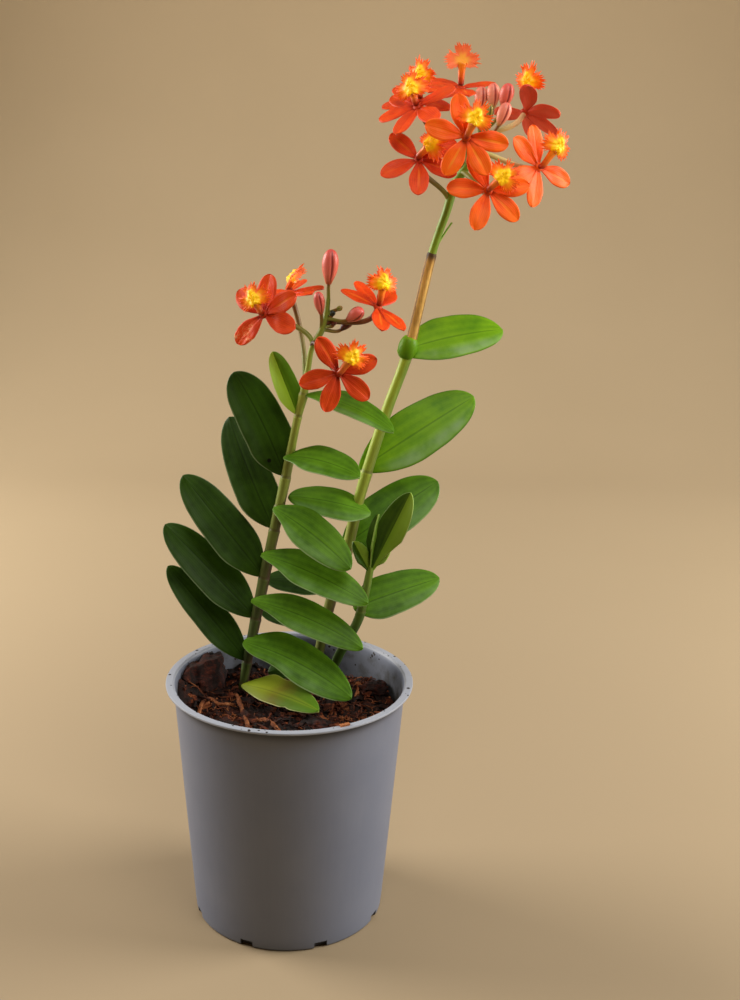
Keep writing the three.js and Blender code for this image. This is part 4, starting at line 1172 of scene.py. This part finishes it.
def bloom_shape(key, centre, turn, lift, tepals):
    middle, out, in_plane = bloom_frame(centre, turn, lift)
    bm = bmesh.new()
    along_layer, scar_layer = vertex_layers(bm, "along", "scar")
    for vert in bar(bm, [(middle + out * forward, radius) for forward, radius in HUB_RINGS], 16):
        vert[along_layer] = 0.08
    for number, angle in enumerate(tepals):
        torn = (key, number) == TORN_TEPAL
        seed = centre[0] + number * 3.7
        made = tepal(bm, middle, out, in_plane(angle), seed, BROAD_BLOOMS.get(key, 1), torn)
        for vert in made:
            vert[scar_layer] = 1 if torn else 0
    return bm


for key, (centre, turn, lift, tepals, _, _, tone) in BLOOMS.items():
    shape = bloom_shape(key, centre, turn, lift, tepals)
    make_piece(f"{key}_tepals", shape, [TEPAL_TONES[tone]], [f"bloom_{key}"], sharp=60)

# ---- Lips ---------------------------------------------------------------------------------------------
# A fleshy column rises from each bloom's middle and carries the lip, a fan of three lobes cut into a deep
# fringe. The fan is yellow where its callus swells and orange-red along the fringe.

LIP_RADIUS = 7
LIP_SKIN = 0.35
LIP_FRINGE = 44  # teeth round the fan
LIP_COLUMNS = 4 * LIP_FRINGE
COLUMN_LEAN = 0.6
COLUMN_WIDTHS = (1.1, 1.2, 1.4, 1.9, 1.5)
COLUMN_RINGS = 16
TURNED_LIPS = ("b1", "b6")  # these fans are turned over, with their callus on the other side
CALLUS = [
    # forward and aside from the middle of the fan, radius, height of each lump
    (-3.2, 1.0, 0.9, 1.5),
    (-3.2, -1.0, 0.9, 1.5),
    (-1.7, 1.2, 1.1, 1.5),
    (-1.7, -1.2, 1.1, 1.5),
    (0.0, 0.2, 1.2, 1.0),
    (1.6, 1.1, 0.8, 1.0),
    (1.5, -1.2, 0.8, 0.9),
    (3.0, 0.1, 0.9, 1.1),
    (0.2, 2.4, 0.8, 0.8),
    (0.0, -2.4, 0.8, 0.8),
]

column_skin = Finish("column_skin", Specular_IOR_Level=0.45, Roughness=0.38)
column_cloud = column_skin.grain(2.0, 3)
column_colour = column_skin.ramp(
    column_skin.attribute("along") + (column_cloud - 0.5) * 0.3,
    (0.0, "#5c1006"),
    (0.25, "#a83008"),
    (0.48, "#ee700e"),
    (1.0, "#fba414"),
)
column_skin.set(Base_Color=column_colour)
column_skin.relief(column_cloud, 0.1, 0.5)

anther_skin = Finish("anther_skin", Specular_IOR_Level=0.5, Roughness=0.35)
anther_cloud = anther_skin.grain(0.8, 2)
anther_skin.set(Base_Color=anther_skin.ramp(anther_cloud, (0.35, "#b84408"), (0.65, "#f08410")))
anther_skin.relief(anther_cloud, 0.08, 0.5)

# painted light: the lip glows faintly in its own colour through Emission_Strength and Emission_Color, though
# it is no lamp
lip_skin = Finish(
    "lip_skin", Specular_IOR_Level=0.3, Subsurface_Weight=0.2, Subsurface_Scale=MM,
    Subsurface_Radius=(1.0, 0.45, 0.1), Emission_Strength=0.15,
)
lip_reach = lip_skin.attribute("along")
lip_lump = lip_skin.attribute("lump")
lip_cloud = lip_skin.grain(1.6, 3)
lip_fine = lip_skin.grain(0.5, 2)
lip_colour = lip_skin.ramp(
    lip_reach + (lip_cloud - 0.5) * 0.5,
    (0.35, "#fdb408"),
    (0.55, "#fb9408"),
    (0.74, "#f4700a"),
    (0.95, "#e4500a"),
)
lip_colour = lip_skin.blend(lip_skin.step(lip_lump, 0.25, 0.9), lip_colour, "#ffc404")
behind_lip = lip_skin.attribute("under")
lip_colour = lip_skin.blend(behind_lip * 0.8, lip_colour, "#ee7a4c")
lip_colour = lip_skin.blend(behind_lip * (1 - lip_skin.step(lip_reach, 0.2, 0.6)), lip_colour, "#f8b040")
lip_skin.set(Base_Color=lip_colour, Emission_Color=lip_colour, Roughness=0.4 + 0.2 * lip_fine)
lip_skin.relief(lip_cloud * 0.5 + lip_fine * 0.5, 0.12, 0.6)


def lip_outline(angle):
    """Radius of the fan without its fringe: two side lobes and a split middle one, cut away at the column."""
    off = abs(angle)
    lobes = 1 - 0.38 * hump(off - 46, 12) - 0.22 * hump(off, 7)
    back_cut = min(1, max(0, (off - 112) / 45))
    return LIP_RADIUS * lobes * (1 - 0.52 * back_cut**2 * (3 - 2 * back_cut))


def callus_height(forward, aside, seed):
    """Height of the ruffled callus above the fan."""
    spread = (forward / 4.1) ** 2 + (aside / 2.7) ** 2
    ruffle = 0.8 * abs(noise.noise(Vector((forward * 0.6, aside * 0.6, seed)))) + 0.3
    lumps = sum(height * hump(math.hypot(forward - f, aside - a), radius) for f, a, radius, height in CALLUS)
    return 1.7 * ruffle * math.exp(-(spread**2)) + 0.8 * lumps


def lip_shape(key, centre, turn, lift, lip):
    """A bloom's column, its cap and the lip, as material slots 0, 1 and 2."""
    middle, out, in_plane = bloom_frame(centre, turn, lift)
    angle, turned, reach = lip
    aside, bend = in_plane(angle), math.radians(turned)
    forward = reach * math.cos(COLUMN_LEAN * bend)
    sideways = reach * math.sin(COLUMN_LEAN * bend)
    throat = middle + out * forward + aside * sideways
    axis = out * math.cos(bend) + aside * math.sin(bend)
    face = (out * math.sin(bend) - aside * math.cos(bend)) * (-1 if key in TURNED_LIPS else 1)
    side = face.cross(axis)
    fan_middle = throat + axis * 1.4

    bm = bmesh.new()
    lump, under = vertex_layers(bm, "lump", "under")
    spine = [
        middle + out * (HUB_FRONT + GAP),
        middle + out * (2 * HUB_FRONT + GAP) + aside * 0.1,
        middle + out * (forward * 0.7) + aside * (sideways * 0.5),
        throat,
        throat + axis * 0.5,
    ]
    rings = []
    for i in range(COLUMN_RINGS + 1):
        share = i / COLUMN_RINGS
        k = min(3, int(share * 4))
        wide = COLUMN_WIDTHS[k] + (COLUMN_WIDTHS[k + 1] - COLUMN_WIDTHS[k]) * (share * 4 - k)
        rings.append((through(spine, share), wide * (1 if i < COLUMN_RINGS else 0.5)))
    bar(bm, rings, 14, lambda a, s: 1 + 0.06 * math.cos(2 * a) + 0.04 * math.cos(5 * a))
    column_faces = set(bm.faces)
    cap = bmesh.ops.create_uvsphere(bm, u_segments=12, v_segments=8, radius=0.8)["verts"]
    bmesh.ops.translate(bm, vec=throat + face * 1.1 - axis * 1.2, verts=cap)
    cap_faces = {f for vert in cap for f in vert.link_faces}

    def fan_spot(u, t):
        """Place on the fan's plane: how far forward and how far aside of its middle."""
        round_angle = 180 * u
        tooth_place = (u + 1) / 2 * LIP_FRINGE
        number = math.floor(tooth_place)
        tooth = 1 - abs(2 * (tooth_place % 1) - 1)
        ragged = 0.5 + 0.9 * noise.noise(Vector((number * 1.7, centre[0], 0.5)))
        outer = max(0.0, (t - 0.62) / 0.38)
        fringe = (0.12 + 0.24 * ragged) * (tooth - 0.4) * outer
        fringe *= min(1, max(0, (165 - abs(round_angle)) / 30))
        wavy = 1 + 0.1 * noise.noise(Vector((u * 5, centre[1], 2))) * t
        radius = lip_outline(round_angle) * wavy * (t * 0.94 + fringe)
        swing = math.radians(round_angle + 9 * (ragged - 0.5) * outer)
        return radius * math.cos(swing), radius * math.sin(swing), radius

    def fan_back(u, t):
        ahead, off, radius = fan_spot(u, t)
        fold = 0.25 - 1.5 * (radius / LIP_RADIUS) ** 2
        curl = 1.6 * noise.noise(Vector((u * 7, t * 1.5, centre[1]))) * max(0.0, t - 0.4)
        tooth_bend = 2.0 * noise.noise(Vector((math.floor((u + 1) / 2 * LIP_FRINGE) * 2.3, 1, centre[0])))
        lift = fold + curl + tooth_bend * max(0.0, t - 0.7)
        return fan_middle + axis * ahead + side * off + face * lift

    def fan_thickness(u, t):
        ahead, off, _ = fan_spot(u, t)
        return LIP_SKIN + callus_height(ahead, off, centre[0]) * min(1, 4 * (1 - t))

    made = blade(bm, LIP_COLUMNS, 16, face, fan_back, fan_thickness)
    across, along = vertex_layers(bm, "across", "along")
    for vert in made:
        ahead, off, _ = fan_spot(vert[across], vert[along])
        vert[lump] = callus_height(ahead, off, centre[0]) * (1 - vert[under])
    for f in bm.faces:
        f.material_index = 0 if f in column_faces else 1 if f in cap_faces else 2
    return bm


for key, (centre, turn, lift, _, lip, _, _) in BLOOMS.items():
    shape = lip_shape(key, centre, turn, lift, lip)
    finishes = [column_skin, anther_skin, lip_skin]
    make_piece(f"{key}_lip", shape, finishes, [f"lip_{key}"], sharp=60)

# ---- Pedicels -----------------------------------------------------------------------------------------
# The slender stalk of each bloom and bud, which is its ovary too. It leaves the flower stalk upwards and
# bends out to the bloom, green at its foot and flushed with red towards the flower.

PEDICEL_START = 1.0
PEDICEL_END = 1.15
BUD_PEDICEL = (0.8, 0.75)
BUD_SEAT = 0.5
PEDICEL_FEET = {"a2": (5.2, 13.2, 240)}  # where it differs from the bloom's own row
BUDS = [
    # foot, tip, radius, foot of the pedicel, tone
    ((14.9, 9, 287), (16, 8, 301.5), 3.4, (14.9, 9.6, 280), "coral"),
    ((12, 8, 274.5), (10.6, 7, 284), 2.3, (12, 10, 267), "coral"),
    ((23, 6, 272.5), (29.5, 4, 277.5), 2.8, (14, 10, 271), "coral"),
    ((20, 13, 267), (25.5, 13, 272.5), 2.0, (12, 10.2, 266.5), "maroon"),
    ((16.2, 9.3, 273.4), (17.2, 8.8, 276), 1.2, (15, 9.8, 272), "tiny"),
    ((18.2, 9, 276.2), (20.8, 8, 277.6), 1.1, (15, 9.6, 274), "green"),
    ((16.8, 10, 269.2), (17.8, 9, 272.2), 1.2, (14, 10, 268.5), "maroon"),
    ((76, 24, 358), (76.5, 25, 367), 2.8, (76, 22, 344.5), "pale"),
    ((81, 22, 358.5), (81, 22, 368.5), 2.7, (76, 22, 344.5), "pale"),
    ((85, 19, 359), (87, 17, 368.5), 2.9, (76, 22, 344.5), "coral"),
    ((83, 14, 352), (86.5, 12.5, 361), 2.7, (76, 22, 344), "pale"),
    ((78.5, 17.5, 353), (79.5, 16.5, 360.5), 1.7, (76, 22, 344), "green"),
]


def pedicel(bm, start, end, arrival, start_radius, end_radius):
    span = (end - start).length
    bends = (start, start + UP * (0.3 * span), end - arrival * (0.4 * span), end)
    rings = []
    for i in range(22):
        t = i / 21
        weights = ((1 - t) ** 3, 3 * t * (1 - t) ** 2, 3 * t * t * (1 - t), t**3)
        place = sum((b * w for b, w in zip(bends, weights)), Vector())
        rings.append((place, start_radius + (end_radius - start_radius) * t))
    rings.append((end + arrival, end_radius))
    bar(bm, rings, 12, lambda angle, share: 1 + 0.07 * math.cos(3 * angle) * share)


def pedicel_finish(name, foot, middle, end):
    finish = Finish(name, Specular_IOR_Level=0.5)
    cloud = finish.grain(3, 3)
    fine = finish.grain(0.6, 2, stretch=(1, 1, 0.3))
    share = finish.attribute("along") + (cloud - 0.5) * 0.4
    finish.set(
        Base_Color=finish.ramp(share, (0.05, foot), (0.5, middle), (0.95, end)),
        Roughness=0.4 + 0.2 * fine,
    )
    finish.relief(fine, 0.08, 0.6)
    return finish


PEDICEL_TONES = {
    "olive": pedicel_finish("pedicel_olive", "#7c8c30", "#746f22", "#7c4e1e"),
    "maroon": pedicel_finish("pedicel_maroon", "#4c2414", "#6a4a1c", "#7c3418"),
    "cream": pedicel_finish("pedicel_cream", "#8a9e40", "#bcb870", "#d0a070"),
}
BLOOM_PEDICELS = {
    "olive": ("a1", "a2", "b1", "b2", "b3", "b4", "b8"),
    "maroon": ("a3", "a4"),
    "cream": ("b5", "b6", "b7"),
}

for tone, keys in BLOOM_PEDICELS.items():
    stalks = bmesh.new()
    for key in keys:
        centre, turn, lift, _, _, foot, _ = BLOOMS[key]
        middle, out, _ = bloom_frame(centre, turn, lift)
        start = Vector(PEDICEL_FEET.get(key, foot))
        end = middle - out * (HUB_BACK + GAP + 1)
        pedicel(stalks, start, end, out * 1.2, PEDICEL_START, PEDICEL_END)
    make_piece(f"pedicels_{tone}", stalks, [PEDICEL_TONES[tone]])

bud_stalks = bmesh.new()
for foot, tip, _, start, _ in BUDS:
    low, high = Vector(foot), Vector(tip)
    arrival = (high - low).normalized()
    pedicel(bud_stalks, Vector(start), low + arrival * BUD_SEAT, arrival, *BUD_PEDICEL)
make_piece("bud_pedicels", bud_stalks, [PEDICEL_TONES["olive"]])

# ---- Buds ---------------------------------------------------------------------------------------------
# Closed buds, egg-shaped and blunt, whose three outer tepals meet in dark seams. They are coral where they
# are nearly ready, paler with a green foot when young, and the smallest are still green.

BUD_PROFILE = [
    # along the bud, share of its radius
    (0, 0.34), (0.1, 0.5), (0.22, 0.7), (0.4, 0.92), (0.6, 1.0),
    (0.78, 0.9), (0.9, 0.68), (0.97, 0.42), (1, 0.16),
]
BUD_RINGS = 24
BUD_SEAM = -1.15  # angle round the bud of the seam that faces the front


def bud_finish(name, foot, body, tip, seam):
    finish = Finish(
        name, Specular_IOR_Level=0.5, Subsurface_Weight=0.15, Subsurface_Scale=MM,
        Coat_Weight=0.1, Coat_Roughness=0.3,
    )
    cloud = finish.grain(2.2, 3)
    streak = finish.grain(0.6, 3, stretch=(1, 1, 0.2))
    share = finish.attribute("along") + (cloud - 0.5) * 0.25 + (streak - 0.5) * 0.2
    colour = finish.ramp(share, (0.02, foot), (0.3, body), (0.95, tip))
    colour = finish.blend(finish.step(finish.attribute("seam"), 0.1, 0.7) * 0.9, colour, seam)
    finish.set(Base_Color=colour, Roughness=0.38 + 0.15 * streak)
    finish.relief(streak, 0.08, 0.6)
    return finish


BUD_TONES = {
    "coral": bud_finish("bud_coral", "#b0542a", "#e0705c", "#cc443c", "#7a0e04"),
    "pale": bud_finish("bud_pale", "#a08c3a", "#ea9a7c", "#dc6c5c", "#8a160c"),
    "green": bud_finish("bud_green", "#6c8430", "#86983c", "#a07a3c", "#465020"),
    "maroon": bud_finish("bud_maroon", "#4a2414", "#5c1c12", "#7c2a20", "#2c0a06"),
    "tiny": bud_finish("bud_tiny", "#3a4a1c", "#26301a", "#161810", "#101008"),
}

bud_curve = [Vector((t, share, 0)) for t, share in BUD_PROFILE]
third = 2 * math.pi / 3


def seam_depth(angle, share):
    """1 in the middle of a seam between two tepals, and 0 off it and at the bud's ends."""
    turn = (angle - BUD_SEAM + 0.25 * share + third / 2) % third - third / 2
    return hump(turn, 0.16) * math.sin(math.pi * min(1, share * 1.05)) ** 0.5


for tone, finish in BUD_TONES.items():
    cluster = bmesh.new()
    (seam_layer,) = vertex_layers(cluster, "seam")
    for foot, tip, radius, _, bud_tone in BUDS:
        if bud_tone != tone:
            continue
        spots = [through(bud_curve, i / BUD_RINGS) for i in range(BUD_RINGS + 1)]
        rings = [(Vector(foot).lerp(Vector(tip), spot.x), radius * spot.y) for spot in spots]
        made = bar(cluster, rings, 42, lambda angle, share: 1.02 - 0.12 * seam_depth(angle, share))
        along, around = vertex_layers(cluster, "along", "around")
        for vert in made:
            vert[seam_layer] = seam_depth(vert[around], vert[along])
    make_piece(f"buds_{tone}", cluster, [finish], sharp=80)

# ---- Bracts and dry sheath ----------------------------------------------------------------------------
# Small pointed bracts stand where the flower stalks branch. On the tall stalk the foot of the last leaf
# swells into a green clasp, and a papery sheath, tan with brown edges, is wrapped round the stalk above it.

BRACTS = [
    # cane, z, heading, rise, length, width
    ("a", 241, 10, 35, 6.5, 3.2),
    ("b", 297, 5, 64, 17, 2.6),
    ("b", 327, -40, 30, 6, 2.8),
]
CLASP = [
    # z, thickness over cane b
    (253.2, 0.1), (253.9, 0.9), (255, 1.5), (256.6, 1.95), (258.4, 2.05), (260.2, 1.8), (261.7, 1.2),
    (262.8, 0.4),
]
CLASP_OFF = Vector((-0.6, 0, 0))  # its middle from the cane's
DRY_SHEATH = (261, 299)  # from and to, along cane b
DRY_SHEATH_PROUD = 0.3
DRY_SHEATH_RINGS = 42


def bract(bm, cane, z, heading, rise, length, width):
    foot, _ = cane_at(cane, z)
    along, face, side = leaf_axes(heading, rise)

    def back(u, t):
        lift = 0.5 * abs(u) - 1.2 * t * t - 0.3
        return foot + along * (length * t) + side * (0.5 * width * (1 - t) ** 0.6 * u) + face * lift

    blade(bm, 10, 22, face, back, lambda u, t: 0.1 + 0.35 * rounded_edge(u))


bracts = bmesh.new()
for row in BRACTS:
    bract(bracts, *row)
clasp_rings = []
for z, swell in CLASP:
    centre, radius = cane_at("b", z)
    clasp_rings.append((centre + CLASP_OFF, radius + swell))
bar(bracts, clasp_rings, 24)
make_piece("bracts", bracts, [leaf_skins["light"]], sharp=70)

dry_skin = Finish("dry_sheath", Specular_IOR_Level=0.35)
dry_streak = dry_skin.grain(0.8, 4, stretch=(1, 1, 0.06))
dry_patch = dry_skin.grain(8, 3)
dry_colour = dry_skin.ramp(
    dry_streak * 0.5 + dry_patch * 0.5,
    (0.3, "#8a682a"),
    (0.5, "#c89b4c"),
    (0.7, "#dcb664"),
)
dry_around = dry_skin.attribute("around")
for edge_angle in (-0.35, -2.6):
    beside = dry_skin.fade(abs(dry_around - edge_angle), 0.1, 0.35)
    dry_colour = dry_skin.blend(beside * 0.75, dry_colour, "#4c2c12")
dry_end = dry_skin.step(dry_skin.attribute("along"), 0.88, 0.98)
dry_colour = dry_skin.blend(dry_end * 0.9, dry_colour, "#301a0c")
dry_skin.set(Base_Color=dry_colour, Roughness=0.5 + 0.2 * dry_streak)
dry_skin.relief(dry_streak, 0.15, 0.8)

sheath = bmesh.new()
low, high = DRY_SHEATH
rings = []
for i in range(DRY_SHEATH_RINGS + 1):
    centre, radius = cane_at("b", low + (high - low) * i / DRY_SHEATH_RINGS)
    rings.append((centre, radius + DRY_SHEATH_PROUD * (1 if 0 < i < DRY_SHEATH_RINGS else 0.2)))


def papery(angle, share):
    return 1 + 0.02 * math.cos(5 * angle) + 0.015 * math.cos(12 * angle + 9 * share)


bar(sheath, rings, 28, papery)
make_piece("dry_sheath", sheath, [dry_skin], sharp=60)

# ---- Floor, light and camera --------------------------------------------------------------------------
# A pale floor that sweeps up behind the plant, with painted shade round it. Two soft windows stand at its
# sides, a small lamp lights the flowers and a weak one hangs above. The camera looks slightly down.

CAMERA_PLACE = (34.1, -570.6, 370.1)
CAMERA_PITCH = 16.96
CAMERA_ROLL = 1.22
CAMERA_LENS = 50
SWEEP = {"front": 1400, "side": 2200, "back": 700, "radius": 500, "height": 1700}

sweep_finish = Finish("pale_floor", Roughness=0.9, Specular_IOR_Level=0.2)
sweep_cloud = sweep_finish.grain(300, 2)
sweep_colour = sweep_finish.ramp(sweep_cloud, (0.3, "#c2ad8c"), (0.7, "#c6b190"))
# painted shade: the floor is painted darker towards the plant, fading out about 0.9 m from it
painted_shade_round_plant = sweep_finish.fade(sweep_finish.from_axis(), 100, 900)
sweep_finish.set(Base_Color=sweep_finish.blend(painted_shade_round_plant * 0.85, sweep_colour, "#98866c"))

backdrop = bmesh.new()
bend_points = rounded(SWEEP["back"], SWEEP["radius"], SWEEP["radius"], -90, 0, 24)
line = [(-SWEEP["front"], 0), *bend_points, (SWEEP["back"] + SWEEP["radius"], SWEEP["height"])]
row = [backdrop.verts.new((-SWEEP["side"], y, z)) for y, z in line]
rail = [backdrop.edges.new(pair) for pair in zip(row, row[1:])]
widened = bmesh.ops.extrude_edge_only(backdrop, edges=rail)["geom"]
far_side = [g for g in widened if isinstance(g, bmesh.types.BMVert)]
bmesh.ops.translate(backdrop, vec=(2 * SWEEP["side"], 0, 0), verts=far_side)
bmesh.ops.recalc_face_normals(backdrop, faces=backdrop.faces)
if sum(f.normal.z for f in backdrop.faces) < 0:
    bmesh.ops.reverse_faces(backdrop, faces=backdrop.faces)
floor = make_object("pale_floor", backdrop)
floor.data.materials.append(sweep_finish.material)

LIGHT_AIM = Vector((0.03, 0.02, 0.2))
FLOWER_AIM = Vector((0.07, 0, 0.34))
LIGHTS = [
    # name, place in metres, size, watts, colour, what it is aimed at
    ("left_window", (-0.80, 0.28, 0.50), 0.6, 11.6, "#fffaf2", LIGHT_AIM),
    ("right_window", (0.92, 0.06, 0.52), 0.6, 11.8, "#fffcf6", LIGHT_AIM),
    ("flower_light", (0.12, -0.25, 0.60), 0.25, 0.98, "#fffaf0", FLOWER_AIM),
    ("top_soft", (0.0, 0.1, 1.3), 0.9, 2.6, "#ffffff", LIGHT_AIM),
]
for name, place, size, watts, colour, aim in LIGHTS:
    lamp = bpy.data.lights.new(name, "AREA")
    lamp.shape = "DISK"
    lamp.size = size
    lamp.energy = watts
    lamp.color = paint(colour)[:3]
    holder = bpy.data.objects.new(name, lamp)
    holder.location = place
    holder.rotation_euler = (aim - Vector(place)).to_track_quat("-Z", "Y").to_euler()
    bpy.context.scene.collection.objects.link(holder)

world = bpy.data.worlds.new("soft_room")
world.use_nodes = True
background = world.node_tree.nodes["Background"]
feed(background.inputs["Color"], "#c8a878")
feed(background.inputs["Strength"], 0.12)
bpy.context.scene.world = world
bpy.context.scene.view_settings.view_transform = "Standard"

pitch, roll = math.radians(CAMERA_PITCH), math.radians(CAMERA_ROLL)
ahead = Vector((0, math.cos(pitch), -math.sin(pitch)))
level_right = Vector((1, 0, 0))
level_up = level_right.cross(ahead)
right = level_right * math.cos(roll) + level_up * math.sin(roll)
up = level_up * math.cos(roll) - level_right * math.sin(roll)
camera_data = bpy.data.cameras.new("camera")
camera_data.lens = CAMERA_LENS
camera = bpy.data.objects.new("camera", camera_data)
facing = Matrix((right, up, -ahead)).transposed().to_4x4()
camera.matrix_world = Matrix.Translation(Vector(CAMERA_PLACE) * MM) @ facing
bpy.context.scene.collection.objects.link(camera)
bpy.context.scene.camera = camera
